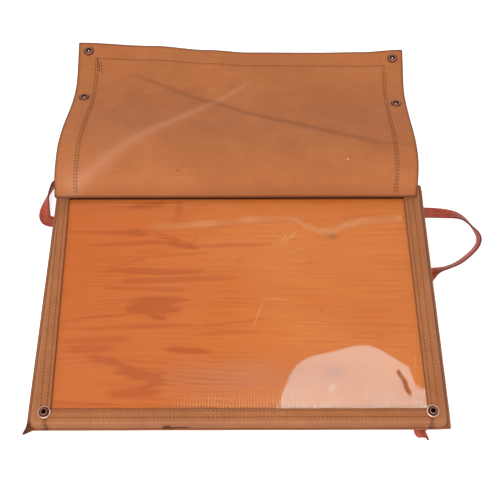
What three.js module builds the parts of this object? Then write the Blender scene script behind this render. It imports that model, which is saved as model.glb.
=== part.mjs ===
// A canvas map case that lies on its back: a plywood board under a clear window, framed by canvas
// strips, with its flap turned back behind it and a leather strap that loops out at both sides.
// Millimetres. X runs to the right, Y away from the front edge, Z up from the surface it lies on.
import * as THREE from 'three';

// Case
const caseWidth = 430; // over the seam lips, at the near end
const farNarrowing = 3; // how much narrower each side is at the far end
const caseDepth = 287; // front lip to far lip
const canvasThick = 1.6;
const seatGap = 0.3; // between pieces that touch on the real case
const lipReach = 4; // side lip, from the foot of the wall to its edge
const wallSlope = 4; // how far a side wall leans out between face edge and foot
const endLipReach = 2.2; // the same two at the near and far ends
const endWallSlope = 2.8;
const backInset = 1; // back panel inside the lips
const backCorner = 20; // radius of the back panel's corners

// Board and window
const boardThick = 12.5;
const boardClear = 2.2; // board edge to the inside of the walls
const boardCorner = 3;
const filmThick = 0.6;
const filmInset = 0.6; // film inside the board's edge
const stripEnds = { near: 18.2, far: 23 }; // end strips, lip edge to window edge
const seamInset = 21.5; // side strip at the corner seams, from the lip edge inward

// Flap
const flapWidth = 411;
const flapReach = 221; // hinge to end edge, as it lies
const flapCrest = 41.2; // height of the hump behind the case
const hingeInset = 22.6; // hinge from the far lip
const seamAllowance = 17; // sewn part below the fold
const foldRadius = 3.6;
const hemWidth = 22;
const hemExtra = 0.9; // added thickness of the folded hem
const hemStep = 1.2; // how wide the step at the hem's edge is

// Snaps
const snapRadius = 6.5;
const socketRadius = 6.3;
const capRadius = 7.2;
const postRadius = 3.4;
const studHeight = 3.1;
const socketHeight = 2.3;
const capHeight = 1.3;
const snapRim = 1.1; // height of the stud's rolled rim
const snapFloor = 0.6; // thickness of the metal at the bottom of a snap
const snapSegments = 18;
const studFromSide = 20; // centre from the side lip's edge
const studFromFront = 15;
const socketFromEdge = 12.5; // from the flap's side edge
const socketFromEnd = 11.5; // from the flap's end edge
const socketSpacing = 73; // between the two sockets of a side

// Strap
const strapWidth = 13;
const strapThick = 2.4;
const loopReach = 57; // right loop, beyond the case's side

// Heights of the layers, from the surface up
const backTop = strapThick + seatGap + canvasThick;
const boardTop = backTop + seatGap + boardThick;
const filmTop = boardTop + seatGap + filmThick;
const lipMid = backTop + seatGap + canvasThick / 2;
const faceMid = filmTop + seatGap + canvasThick / 2;
const faceTop = faceMid + canvasThick / 2;

// Side strips: width from the lip's edge to the window, at the near and the far end of the window.
const sides = [
  { name: 'left', sign: -1, nearStrip: 25.9, farStrip: 18.3 },
  { name: 'right', sign: 1, nearStrip: 24.1, farStrip: 24.8 },
];

// Pointed ears of the seam lip at the four corners: outward in X and Y, and down toward the surface,
// all as shares of lipReach.
const ears = {
  left: { near: { outX: 1.25, outY: 0.75, drop: 0.95 }, far: { outX: 0.15, outY: 0.1, drop: 0 } },
  right: { near: { outX: 0.55, outY: 0.2, drop: 0.375 }, far: { outX: 0.35, outY: 0.15, drop: 0 } },
};
const earSpread = 0.2; // width of an ear, as a share of the corner's turn
const cornerSharpness = 6; // exponent of the corners' rounded squares
const cornerStep = 1; // step of a side strip's inner edge round the end strip's corner
const cornerShares = [0, 0.1, 0.22, 0.36, 0.5, 0.64, 0.78, 0.9, 1]; // stations of a corner's turn

// Profile of a strip, from the window edge outward. reach: 0 window, 1 face edge, 2 foot of the wall,
// 3 lip edge. rise: share of the height between lip and face.
const stripProfile = [
  { reach: 0, rise: 1 },
  { reach: 0.5, rise: 1 },
  { reach: 0.86, rise: 1 },
  { reach: 1, rise: 0.94 },
  { reach: 1.28, rise: 0.76 },
  { reach: 1.7, rise: 0.36 },
  { reach: 1.95, rise: 0.1 },
  { reach: 2.2, rise: 0 },
  { reach: 3, rise: 0 },
];

// Fall of the flap from its hinge to its end. run: share of flapReach, height: share of flapCrest.
const flapFall = [
  { run: 0.03, height: 0.81 },
  { run: 0.08, height: 0.93 },
  { run: 0.165, height: 1 },
  { run: 0.25, height: 0.96 },
  { run: 0.35, height: 0.79 },
  { run: 0.47, height: 0.51 },
  { run: 0.6, height: 0.223 },
  { run: 0.7, height: 0.08 },
  { run: 0.8, height: 0.042 },
  { run: 1, height: 0.036 },
];

// Width and sideways place of the flap along its fall. length: share of the way from fold to end,
// half: share of half the flap's width, aside: share of the flap's width that its middle lies off.
const flapSpread = [
  { length: 0, half: 0.995, aside: -0.0095 },
  { length: 0.2, half: 1, aside: -0.006 },
  { length: 0.7, half: 0.993, aside: 0 },
  { length: 1, half: 1, aside: 0.001 },
];

// End edge of the flap. across: share of half the width, further: extra reach as a share of flapReach,
// curl: lift of the edge as a share of flapCrest.
const flapEnd = [
  { across: -1, further: 0.047, curl: 0.19 },
  { across: -0.55, further: 0.04, curl: 0.07 },
  { across: -0.2, further: 0.016, curl: 0.02 },
  { across: 0.05, further: 0, curl: 0 },
  { across: 0.5, further: -0.003, curl: 0 },
  { across: 0.75, further: -0.009, curl: 0.06 },
  { across: 1, further: -0.012, curl: 0.19 },
];
const curlStart = 0.76; // where the end begins to lift, as a share of the way from fold to end
const curlEase = 1.6; // exponent of the lift

// Creases across the flap. Ends as shares (across, length), height as a share of flapCrest.
const flapCreases = [
  { from: [-0.9, 0.05], to: [0.1, 0.79], height: 0.045 },
  { from: [-0.66, 0.83], to: [0.9, 0.31], height: -0.035 },
];
const creaseSpread = 0.055;

// Strap route, chosen by hand. side: the side of the case that the row is measured from. out: reach of
// the strap's middle beyond the lip there, as a share of loopReach, negative below the case. front: way
// back from the front lip, as a share of caseDepth. off: share of the strap's seat added behind the
// far lip. air: clear height below the lower edge, as a share of strapWidth. roll: turn about the
// strap's length, in degrees. width: share of strapWidth.
const strapRoute = [
  { side: 'left', out: -0.281, front: 1.001, off: 1, air: 0.13, roll: 90, width: 1 },
  { side: 'left', out: -0.105, front: 1.0021, off: 1, air: 0.13, roll: 90, width: 1 },
  { side: 'left', out: 0.018, front: 1.0014, off: 1, air: 0.13, roll: 90, width: 1 },
  { side: 'left', out: 0.084, front: 0.9941, off: 0.6, air: 0.12, roll: 86, width: 1 },
  { side: 'left', out: 0.125, front: 0.976, off: 0.2, air: 0.1, roll: 80, width: 1 },
  { side: 'left', out: 0.162, front: 0.953, off: 0, air: 0.07, roll: 70, width: 1 },
  { side: 'left', out: 0.193, front: 0.9286, off: 0, air: 0.03, roll: 54, width: 1 },
  { side: 'left', out: 0.205, front: 0.9042, off: 0, air: 0.01, roll: 34, width: 1 },
  { side: 'left', out: 0.213, front: 0.8815, off: 0, air: 0, roll: 10, width: 1 },
  { side: 'left', out: 0.207, front: 0.8662, off: 0, air: 0, roll: 1, width: 1 },
  { side: 'left', out: 0.164, front: 0.8502, off: 0, air: 0, roll: 0, width: 1 },
  { side: 'left', out: 0.069, front: 0.8425, off: 0, air: 0, roll: 0, width: 1 },
  { side: 'left', out: -0.114, front: 0.8429, off: 0, air: 0, roll: 0, width: 1 },
  { side: 'left', out: -2.499, front: 0.8537, off: 0, air: 0, roll: 0, width: 1 },
  { side: 'right', out: -2.498, front: 0.8655, off: 0, air: 0, roll: 0, width: 1 },
  { side: 'right', out: -0.164, front: 0.8777, off: 0, air: 0, roll: 0, width: 1 },
  { side: 'right', out: 0.029, front: 0.878, off: 0, air: 0, roll: 0, width: 1 },
  { side: 'right', out: 0.204, front: 0.8753, off: 0, air: 0.04, roll: -2, width: 1 },
  { side: 'right', out: 0.397, front: 0.8683, off: 0, air: 0.15, roll: -8, width: 1 },
  { side: 'right', out: 0.589, front: 0.8571, off: 0, air: 0.22, roll: -24, width: 1 },
  { side: 'right', out: 0.737, front: 0.8397, off: 0, air: 0.21, roll: -44, width: 1 },
  { side: 'right', out: 0.836, front: 0.8164, off: 0, air: 0.21, roll: -58, width: 1 },
  { side: 'right', out: 0.915, front: 0.7909, off: 0, air: 0.2, roll: -68, width: 1 },
  { side: 'right', out: 0.984, front: 0.7659, off: 0, air: 0.17, roll: -84, width: 1 },
  { side: 'right', out: 0.997, front: 0.7401, off: 0, air: 0.11, roll: -100, width: 1 },
  { side: 'right', out: 0.925, front: 0.7118, off: 0, air: 0.05, roll: -112, width: 1 },
  { side: 'right', out: 0.727, front: 0.6725, off: 0, air: 0.03, roll: -120, width: 1 },
  { side: 'right', out: 0.527, front: 0.6439, off: 0, air: 0.02, roll: -123, width: 1 },
  { side: 'right', out: 0.313, front: 0.6223, off: 0, air: 0.01, roll: -134, width: 1 },
  { side: 'right', out: 0.155, front: 0.6084, off: 0, air: 0.02, roll: -154, width: 1 },
  { side: 'right', out: 0.014, front: 0.5951, off: 0, air: 0, roll: -180, width: 1 },
  { side: 'right', out: -0.142, front: 0.5693, off: 0, air: 0, roll: -180, width: 1 },
  { side: 'right', out: -0.253, front: 0.5261, off: 0, air: 0, roll: -180, width: 1 },
  { side: 'right', out: -0.317, front: 0.453, off: 0, air: 0, roll: -180, width: 1 },
  { side: 'right', out: -0.43, front: 0.2265, off: 0, air: 0, roll: -180, width: 1 },
  { side: 'right', out: -0.524, front: 0.0348, off: 0, air: 0, roll: -180, width: 1 },
  { side: 'right', out: -0.537, front: 0, off: 0, air: 0, roll: -180, width: 1 },
  { side: 'right', out: -0.529, front: -0.0084, off: 0, air: 0, roll: -180, width: 0.94 },
  { side: 'right', out: -0.478, front: -0.0153, off: 0, air: 0, roll: -180, width: 0.5 },
  { side: 'right', out: -0.431, front: -0.0244, off: 0, air: 0, roll: -180, width: 0.2 },
  { side: 'right', out: -0.409, front: -0.0348, off: 0, air: 0, roll: -180, width: 0.1 },
];
const strapSteps = 104;

function material(color, roughness, metalness) {
  return new THREE.MeshStandardMaterial({ color, roughness, metalness });
}

const canvasOuter = () => material(0xb3754c, 0.92, 0);
const canvasInner = () => material(0xbd7a4f, 0.92, 0);
const plywood = () => material(0xd08a4a, 0.6, 0);
const clearFilm = () => material(0xd9772f, 0.15, 0);
const leather = () => material(0x9c4a31, 0.6, 0);
const agedBrass = () => material(0x8a6a50, 0.35, 1);

// Value of a table's column at a place along it, eased smoothly from row to row.
function readTable(rows, key, column, place) {
  let next = rows.findIndex((row) => row[key] >= place);
  if (next === -1) next = rows.length - 1;
  const low = rows[Math.max(next - 1, 0)];
  const high = rows[next];
  const span = high[key] - low[key];
  const share = span > 0 ? THREE.MathUtils.clamp((place - low[key]) / span, 0, 1) : 0;
  return THREE.MathUtils.lerp(low[column], high[column], share * share * (3 - 2 * share));
}

function evenSteps(count) {
  return Array.from({ length: count + 1 }, (_, i) => i / count);
}

// A closed sheet about a middle surface. point(u, v) gives the surface, thick(u, v) its thickness;
// the sheet is offset half of it to both sides along the surface normal, and walled round its edge.
function sheetSolid(point, uSteps, vSteps, thick) {
  const columns = uSteps.length;
  const rows = vSteps.length;
  const middle = vSteps.map((v) => uSteps.map((u) => point(u, v)));
  const within = (value, count) => THREE.MathUtils.clamp(value, 0, count - 1);
  const at = (i, j) => middle[within(i, rows)][within(j, columns)];
  const top = [];
  const bottom = [];
  for (let i = 0; i < rows; i += 1) {
    for (let j = 0; j < columns; j += 1) {
      const alongU = at(i, j + 1).clone().sub(at(i, j - 1));
      const alongV = at(i + 1, j).clone().sub(at(i - 1, j));
      const half = alongU.cross(alongV).normalize().multiplyScalar(thick(uSteps[j], vSteps[i]) / 2);
      top.push(at(i, j).clone().add(half));
      bottom.push(at(i, j).clone().sub(half));
    }
  }
  const index = (i, j) => i * columns + j;
  const under = top.length;
  const faces = [];
  for (let i = 0; i < rows - 1; i += 1) {
    for (let j = 0; j < columns - 1; j += 1) {
      const quad = [index(i, j), index(i, j + 1), index(i + 1, j + 1), index(i + 1, j)];
      faces.push(quad[0], quad[1], quad[2], quad[0], quad[2], quad[3]);
      faces.push(quad[2] + under, quad[1] + under, quad[0] + under);
      faces.push(quad[3] + under, quad[2] + under, quad[0] + under);
    }
  }
  const rim = [];
  for (let j = 0; j < columns - 1; j += 1) rim.push(index(0, j));
  for (let i = 0; i < rows - 1; i += 1) rim.push(index(i, columns - 1));
  for (let j = columns - 1; j > 0; j -= 1) rim.push(index(rows - 1, j));
  for (let i = rows - 1; i > 0; i -= 1) rim.push(index(i, 0));
  rim.forEach((here, k) => {
    const next = rim[(k + 1) % rim.length];
    faces.push(next, here, here + under, next, here + under, next + under);
  });
  const geometry = new THREE.BufferGeometry().setFromPoints([...top, ...bottom]);
  geometry.setIndex(faces);
  geometry.computeVertexNormals();
  return geometry;
}

// A flat plate with rounded corners, from low to high in each direction, its far end narrower by
// the taper at each side.
function plate(low, high, corner, taper) {
  const outline = new THREE.Shape();
  const quarter = Math.PI / 2;
  outline.moveTo(low.x + corner, low.y);
  outline.lineTo(high.x - corner, low.y);
  outline.absarc(high.x - corner, low.y + corner, corner, -quarter, 0, false);
  outline.absarc(high.x - taper - corner, high.y - corner, corner, 0, quarter, false);
  outline.absarc(low.x + taper + corner, high.y - corner, corner, quarter, 2 * quarter, false);
  outline.absarc(low.x + corner, low.y + corner, corner, 2 * quarter, 3 * quarter, false);
  const geometry = new THREE.ExtrudeGeometry(outline, {
    depth: high.z - low.z,
    bevelEnabled: false,
    curveSegments: 5,
  });
  return geometry.translate(0, 0, low.z);
}

function piece(name, geometry, surface) {
  const mesh = new THREE.Mesh(geometry, surface);
  mesh.name = name;
  return mesh;
}

const halfAt = { near: caseWidth / 2, far: caseWidth / 2 - farNarrowing };
const faceHalf = halfAt.near - lipReach - wallSlope;
const faceNear = endLipReach + endWallSlope;

function boardPiece() {
  const inside = boardClear;
  const low = new THREE.Vector3(inside - faceHalf, faceNear + inside, backTop + seatGap);
  const high = new THREE.Vector3(faceHalf - inside, caseDepth - faceNear - inside, boardTop);
  return piece('board', plate(low, high, boardCorner, farNarrowing), plywood());
}

function filmPiece() {
  const inside = boardClear + filmInset;
  const low = new THREE.Vector3(inside - faceHalf, faceNear + inside, boardTop + seatGap);
  const high = new THREE.Vector3(faceHalf - inside, caseDepth - faceNear - inside, filmTop);
  return piece('window_film', plate(low, high, boardCorner, farNarrowing), clearFilm());
}

function backPiece() {
  const low = new THREE.Vector3(backInset - halfAt.near, backInset, strapThick + seatGap);
  const high = new THREE.Vector3(halfAt.near - backInset, caseDepth - backInset, backTop);
  return piece('back_panel', plate(low, high, backCorner, farNarrowing), canvasOuter());
}

// The four edges that a strip passes over, as lines in from the lip at an end of the case.
function endLines(end) {
  return [stripEnds[end], faceNear, endLipReach, 0];
}

// A point between the four edge lines, at a reach of 0 to 3.
function betweenLines(lines, reach) {
  const first = Math.min(Math.floor(reach), lines.length - 2);
  return lines[first].clone().lerp(lines[first + 1], reach - first);
}

function stripHeight(rise) {
  return THREE.MathUtils.lerp(lipMid, faceMid, rise);
}

// Near or far strip, between the side strips' corner seams.
function endStrip(name, end) {
  const half = halfAt[end] - seamInset - seatGap;
  const away = end === 'near' ? 1 : -1;
  const start = end === 'near' ? 0 : caseDepth;
  const lines = endLines(end).map((inward) => new THREE.Vector3(0, start + away * inward, 0));
  const point = (u, v) => {
    const row = stripProfile[u];
    const place = betweenLines(lines, row.reach);
    return new THREE.Vector3((2 * v - 1) * half * -away, place.y, stripHeight(row.rise));
  };
  const geometry = sheetSolid(point, stripProfile.map((_, k) => k), evenSteps(12), () => canvasThick);
  return piece(name, geometry, canvasOuter());
}

// Side strip. It runs along its side of the window and turns both corners of the case as far as the
// corner seams. Its edge lines turn a corner as rounded squares round the end strip's corner, and the
// lip's ear is pulled out of the middle of the turn.
function sideStrip(side) {
  const seam = (end) => halfAt[end] - seamInset;
  const outward = (end) => {
    const foot = halfAt[end] - lipReach;
    return [seam(end) + cornerStep, foot - wallSlope, foot, halfAt[end]];
  };
  const cornerDepth = (end) => stripEnds[end] + seatGap;
  const mirrored = (end, x, y, z) => new THREE.Vector3(side.sign * x, end === 'near' ? y : caseDepth - y, z);
  const turning = (end, amount) => outward(end).map((out, line) => {
    const depth = cornerDepth(end);
    const inward = line === 0 ? depth - cornerStep : endLines(end)[line];
    const angle = (amount * Math.PI) / 2;
    const across = Math.max(Math.cos(angle), 0) ** (2 / cornerSharpness);
    const down = 1 - Math.sin(angle) ** (2 / cornerSharpness);
    const ear = ears[side.name][end];
    const pull = line === 3 ? lipReach * Math.exp(-(((amount - 0.5) / earSpread) ** 2)) : 0;
    const x = THREE.MathUtils.lerp(seam(end), out, across) + pull * ear.outX;
    const y = THREE.MathUtils.lerp(inward, depth, down) - pull * ear.outY;
    return mirrored(end, x, y, -pull * ear.drop);
  });
  const straight = (end) => {
    const strip = end === 'near' ? side.nearStrip : side.farStrip;
    const y = cornerDepth(end) + cornerStep;
    return [halfAt[end] - strip, ...outward(end).slice(1)].map((out) => mirrored(end, out, y, 0));
  };
  const edges = (part, share) => {
    if (part === 'far') return turning('far', 1 - share);
    if (part === 'near') return turning('near', share);
    const nearEdges = straight('near');
    return straight('far').map((place, line) => place.lerp(nearEdges[line], share));
  };
  const stations = [
    ...cornerShares.map((share) => ({ part: 'far', share: 1 - share })).reverse(),
    ...evenSteps(9).map((share) => ({ part: 'side', share })),
    ...cornerShares.map((share) => ({ part: 'near', share })),
  ];
  const point = (u, v) => {
    const row = stripProfile[u];
    const place = betweenLines(edges(stations[v].part, stations[v].share), row.reach);
    return place.setZ(stripHeight(row.rise) + place.z);
  };
  const across = stripProfile.map((_, k) => k);
  if (side.sign < 0) across.reverse();
  const geometry = sheetSolid(point, across, stations.map((_, k) => k), () => canvasThick);
  return piece(`border_${side.name}`, geometry, canvasOuter());
}

// Middle line of the flap in the YZ plane: sewn part, fold and fall.
const hinge = caseDepth - hingeInset;
const sewnMid = faceTop + seatGap + canvasThick / 2;
const foldMid = sewnMid + foldRadius;

function flapLine() {
  const points = [new THREE.Vector3(0, hinge + seamAllowance, sewnMid)];
  points.push(new THREE.Vector3(0, hinge + seamAllowance / 2, sewnMid));
  evenSteps(6).forEach((share) => {
    const angle = Math.PI * share;
    const y = hinge - foldRadius * Math.sin(angle);
    points.push(new THREE.Vector3(0, y, foldMid - foldRadius * Math.cos(angle)));
  });
  flapFall.forEach((row) => {
    points.push(new THREE.Vector3(0, hinge + row.run * flapReach, row.height * flapCrest));
  });
  const line = new THREE.CatmullRomCurve3(points, false, 'centripetal');
  line.arcLengthDivisions = 800;
  return line;
}

const flapCurve = flapLine();
const flapLength = flapCurve.getLength();
const foldLength = seamAllowance + (Math.PI * foldRadius) / 2; // sewn edge to the middle of the fold

// Share of the way from the fold to the end, zero on the sewn part.
function beyondFold(along) {
  return Math.max(0, (along * flapLength - foldLength) / (flapLength - foldLength));
}

// Ridge or valley of the creases: height times exp(-(distance / spread) squared), faded at both ends.
function creaseLift(across, length) {
  return flapCreases.reduce((sum, crease) => {
    const [fromAcross, fromLength] = crease.from;
    const dx = crease.to[0] - fromAcross;
    const dy = crease.to[1] - fromLength;
    const size = dx * dx + dy * dy;
    const along = ((across - fromAcross) * dx + (length - fromLength) * dy) / size;
    const off = ((across - fromAcross) * dy - (length - fromLength) * dx) / Math.sqrt(size);
    const fade = Math.sin(Math.PI * THREE.MathUtils.clamp(along, 0, 1));
    return sum + crease.height * flapCrest * fade * Math.exp(-((off / creaseSpread) ** 2));
  }, 0);
}

// A point on the flap's middle surface: across from -1 to 1, along from 0 at the sewn edge to 1.
function flapPoint(across, along) {
  const place = flapCurve.getPointAt(THREE.MathUtils.clamp(along, 0, 1));
  const length = beyondFold(along);
  const half = (flapWidth / 2) * readTable(flapSpread, 'length', 'half', length);
  const aside = flapWidth * readTable(flapSpread, 'length', 'aside', length);
  const further = flapReach * readTable(flapEnd, 'across', 'further', across);
  const curl = flapCrest * readTable(flapEnd, 'across', 'curl', across);
  const curlShare = Math.max(0, (length - curlStart) / (1 - curlStart));
  place.x = aside + across * half;
  place.y += further * Math.sin((Math.PI * length) / 2);
  place.z += curl * curlShare ** curlEase + creaseLift(across, length);
  return place;
}

function flapPiece() {
  const hemShare = hemWidth / (flapWidth / 2);
  const stepShare = hemStep / (flapWidth / 2);
  const endHem = 1 - hemWidth / flapLength;
  const endStep = hemStep / flapLength;
  const inner = evenSteps(19).map((share) => (2 * share - 1) * (1 - hemShare - stepShare));
  const columns = [-1, hemShare / 2 - 1, hemShare - 1, ...inner, 1 - hemShare, 1 - hemShare / 2, 1];
  const foldArc = Math.PI * foldRadius;
  const fallStart = (seamAllowance + foldArc) / flapLength;
  const fallLength = endHem - endStep - fallStart;
  const rows = [
    ...evenSteps(2).map((share) => (share * seamAllowance) / flapLength),
    ...evenSteps(6).slice(1).map((share) => (seamAllowance + share * foldArc) / flapLength),
    ...evenSteps(22).slice(1).map((share) => fallStart + share * fallLength),
    endHem,
    (1 + endHem) / 2,
    1,
  ];
  const thick = (across, along) => {
    const hemmed = Math.abs(across) > 1 - hemShare - stepShare / 2 || along > endHem - endStep / 2;
    return canvasThick + (hemmed && along > fallStart ? hemExtra : 0);
  };
  return piece('flap', sheetSolid(flapPoint, columns, rows, thick), canvasInner());
}

// A turned solid about Z, its profile given as (radius, height) from axis to axis.
function turned(profile) {
  const points = profile.map(([radius, height]) => new THREE.Vector2(radius, height));
  return new THREE.LatheGeometry(points, snapSegments).rotateX(Math.PI / 2);
}

// Male half of a snap: a rolled flange and a hollow post.
function studPiece(side) {
  const well = (snapRadius + postRadius) / 2;
  const profile = [
    [0, 0],
    [snapRadius * 0.94, 0],
    [snapRadius, snapRim * 0.45],
    [snapRadius * 0.92, snapRim],
    [snapRadius * 0.8, snapRim],
    [well, snapFloor],
    [postRadius, snapFloor],
    [postRadius * 1.06, studHeight * 0.75],
    [postRadius * 0.85, studHeight],
    [postRadius * 0.65, studHeight * 0.92],
    [postRadius * 0.55, snapFloor * 1.5],
    [0, snapFloor * 1.5],
  ];
  const mesh = piece(`stud_${side.name}`, turned(profile), agedBrass());
  mesh.position.set(side.sign * (halfAt.near - studFromSide), studFromFront, faceTop + seatGap);
  return mesh;
}

// Female half of a snap: a ring with a deep mouth.
function socketGeometry() {
  return turned([
    [0, 0],
    [socketRadius * 0.96, 0],
    [socketRadius, socketHeight * 0.2],
    [socketRadius * 0.86, socketHeight * 0.75],
    [socketRadius * 0.72, socketHeight],
    [socketRadius * 0.6, socketHeight],
    [postRadius * 0.95, socketHeight * 0.8],
    [postRadius * 0.95, snapFloor],
    [0, snapFloor],
  ]);
}

// Plain domed cap on the other side of the canvas.
function capGeometry() {
  return turned([
    [0, 0],
    [capRadius * 0.97, 0],
    [capRadius, capHeight * 0.3],
    [capRadius * 0.9, capHeight * 0.7],
    [capRadius * 0.5, capHeight * 0.95],
    [0, capHeight],
  ]);
}

// Sets a turned piece on the flap, on its inner side (face 1) or its outer side (face -1).
function seatOnFlap(mesh, across, along, face) {
  const step = 0.004;
  const middle = flapPoint(across, along);
  const alongU = flapPoint(across + step, along).sub(flapPoint(across - step, along));
  const alongV = flapPoint(across, along + step).sub(flapPoint(across, along - step));
  const normal = alongU.cross(alongV).normalize().multiplyScalar(face);
  mesh.quaternion.setFromUnitVectors(new THREE.Vector3(0, 0, 1), normal);
  mesh.position.copy(middle).addScaledVector(normal, (canvasThick + hemExtra) / 2 + seatGap);
  return mesh;
}

function flapSnaps() {
  const across = 1 - socketFromEdge / (flapWidth / 2);
  const places = [
    { name: 'end', fromEnd: socketFromEnd },
    { name: 'mid', fromEnd: socketFromEnd + socketSpacing },
  ];
  return sides.flatMap((side) => places.flatMap((place) => {
    const along = 1 - place.fromEnd / flapLength;
    const socket = piece(`socket_${side.name}_${place.name}`, socketGeometry(), agedBrass());
    const cap = piece(`cap_${side.name}_${place.name}`, capGeometry(), agedBrass());
    return [
      seatOnFlap(socket, side.sign * across, along, 1),
      seatOnFlap(cap, side.sign * across, along, -1),
    ];
  }));
}

// Height of the strap's middle when its lower edge touches Z = 0, at a roll in degrees.
function strapRise(roll) {
  const turn = THREE.MathUtils.degToRad(roll);
  return (strapWidth * Math.abs(Math.sin(turn)) + strapThick * Math.abs(Math.cos(turn))) / 2;
}

// Middle of the strap at a row of its route.
function strapPlace(row) {
  const sign = row.side === 'left' ? -1 : 1;
  const lip = THREE.MathUtils.lerp(halfAt.near, halfAt.far, row.front);
  const y = row.front * caseDepth + row.off * (seatGap + strapThick / 2);
  const z = strapRise(row.roll) + row.air * strapWidth;
  return new THREE.Vector3(sign * (lip + row.out * loopReach), y, z);
}

// The strap is swept along its route: at each point its width lies level and square to the route,
// turned by the roll about the route's direction, and its lower edge stays at or above Z = 0.
function strapPiece() {
  const line = new THREE.CatmullRomCurve3(strapRoute.map(strapPlace), false, 'centripetal');
  const count = strapRoute.length - 1;
  const column = (name, share) => {
    const first = Math.min(Math.floor(share * count), count - 1);
    return THREE.MathUtils.lerp(strapRoute[first][name], strapRoute[first + 1][name], share * count - first);
  };
  const point = (u, v) => {
    const roll = column('roll', v);
    const forward = line.getTangent(v);
    const level = new THREE.Vector3(-forward.y, forward.x, 0).normalize();
    level.applyAxisAngle(forward, THREE.MathUtils.degToRad(roll));
    const centre = line.getPoint(v);
    centre.setZ(Math.max(centre.z, strapRise(roll)));
    return centre.addScaledVector(level, (u * strapWidth * column('width', v)) / 2);
  };
  const geometry = sheetSolid(point, [1, -1], evenSteps(strapSteps), () => strapThick);
  return piece('strap', geometry, leather());
}

// The whole case, moved so that the middle of its footprint is the origin and it stands on Z = 0.
function mapCase() {
  const assembly = new THREE.Group();
  assembly.add(boardPiece(), filmPiece(), backPiece());
  assembly.add(endStrip('border_bottom', 'near'), endStrip('border_top', 'far'));
  sides.forEach((side) => assembly.add(sideStrip(side), studPiece(side)));
  assembly.add(flapPiece(), ...flapSnaps(), strapPiece());
  assembly.updateMatrixWorld(true);
  const box = new THREE.Box3().setFromObject(assembly, true);
  assembly.position.set(-(box.min.x + box.max.x) / 2, -(box.min.y + box.max.y) / 2, -box.min.z);
  const root = new THREE.Group();
  root.add(assembly);
  return root;
}

export default mapCase();
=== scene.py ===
import math

import bpy
import numpy as np
from mathutils import Matrix, Vector


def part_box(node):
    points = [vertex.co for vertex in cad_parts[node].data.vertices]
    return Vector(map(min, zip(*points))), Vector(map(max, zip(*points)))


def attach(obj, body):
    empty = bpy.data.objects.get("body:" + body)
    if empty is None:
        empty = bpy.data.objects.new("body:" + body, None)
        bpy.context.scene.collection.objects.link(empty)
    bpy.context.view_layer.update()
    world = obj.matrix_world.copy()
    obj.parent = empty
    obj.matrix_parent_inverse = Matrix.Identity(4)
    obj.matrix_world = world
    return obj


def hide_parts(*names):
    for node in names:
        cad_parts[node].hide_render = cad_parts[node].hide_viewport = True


# A canvas map case on its back: the board under its clear window, the canvas strips sewn round it,
# the flap turned back behind it and the leather strap that loops out at both sides.
# Lengths in the dictionaries are millimetres, and everything built is in metres.

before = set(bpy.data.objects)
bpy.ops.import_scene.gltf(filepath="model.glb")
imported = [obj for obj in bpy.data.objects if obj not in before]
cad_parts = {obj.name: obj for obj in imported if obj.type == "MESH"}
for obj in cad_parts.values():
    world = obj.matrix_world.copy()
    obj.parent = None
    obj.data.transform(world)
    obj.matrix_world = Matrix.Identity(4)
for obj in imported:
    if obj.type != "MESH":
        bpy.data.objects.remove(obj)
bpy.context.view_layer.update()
mm = 0.001
print("frame loaded:", len(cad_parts), "nodes")

caseSizes = {
    "width": 430, "farNarrowing": 3, "depth": 287,
    "canvas": 1.6, "gap": 0.3,
    "lip": 4, "wallSlope": 4, "endLip": 2.2, "endWallSlope": 2.8,
    "board": 12.5, "boardClear": 2.2, "film": 0.6, "filmInset": 0.6,
    "strapThick": 2.4,
}
depth, gap, halfCanvas = caseSizes["depth"], caseSizes["gap"], caseSizes["canvas"] / 2
half = {"near": caseSizes["width"] / 2}
half["far"] = half["near"] - caseSizes["farNarrowing"]
faceNear = caseSizes["endLip"] + caseSizes["endWallSlope"]

# heights of the layers
backTop = caseSizes["strapThick"] + gap + caseSizes["canvas"]
boardTop = backTop + gap + caseSizes["board"]
filmTop = boardTop + gap + caseSizes["film"]
lipMid = backTop + gap + halfCanvas
faceMid = filmTop + gap + halfCanvas
faceTop = faceMid + halfCanvas

# the case's own origin, at the middle of its near lip, read from where the board lies
boardLow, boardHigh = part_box("board")
origin = np.array([
    (boardLow[0] + boardHigh[0]) / 2,
    boardLow[1] - (faceNear + caseSizes["boardClear"]) * mm,
    0.0,
])


# millimetres from the case's origin to metres in the frame
def placed(points):
    return np.asarray(points, float) * mm + origin


# the camera comes first: it looks down at 64 degrees from in front of the near edge
cameraSettings = {
    "place": (11.5, -191.2, 812.74), "down": 63.997, "roll": -0.17,
    "lens": 57.6, "sensor": 36.0, "clip": (0.01, 50),
}


def makeCamera(s):
    data = bpy.data.cameras.new("view")
    data.lens = s["lens"]
    data.sensor_width = s["sensor"]
    data.clip_start, data.clip_end = s["clip"]
    camera = bpy.data.objects.new("view", data)
    camera.location = placed(s["place"])
    tilt = Matrix.Rotation(math.radians(90 - s["down"]), 4, "X")
    camera.rotation_euler = (tilt @ Matrix.Rotation(math.radians(s["roll"]), 4, "Z")).to_euler()
    bpy.context.scene.collection.objects.link(camera)
    bpy.context.scene.camera = camera


makeCamera(cameraSettings)
print("camera placed")


# eased value of a table: from row to row it goes as 3t^2 - 2t^3
def eased(places, values, at):
    places, values = np.asarray(places, float), np.asarray(values, float)
    i = np.clip(np.searchsorted(places, at), 1, len(places) - 1)
    t = np.clip((at - places[i - 1]) / (places[i] - places[i - 1]), 0, 1)
    return values[i - 1] + (values[i] - values[i - 1]) * t * t * (3 - 2 * t)


# smooth step of x from 0 at low to 1 at high
def ramp(x, low, high):
    t = np.clip((x - low) / (high - low), 0, 1)
    return t * t * (3 - 2 * t)


# bell of x about a middle: exp(-((x - middle) / spread)^2)
def bell(x, middle, spread):
    return np.exp(-(((x - middle) / spread) ** 2))


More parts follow.
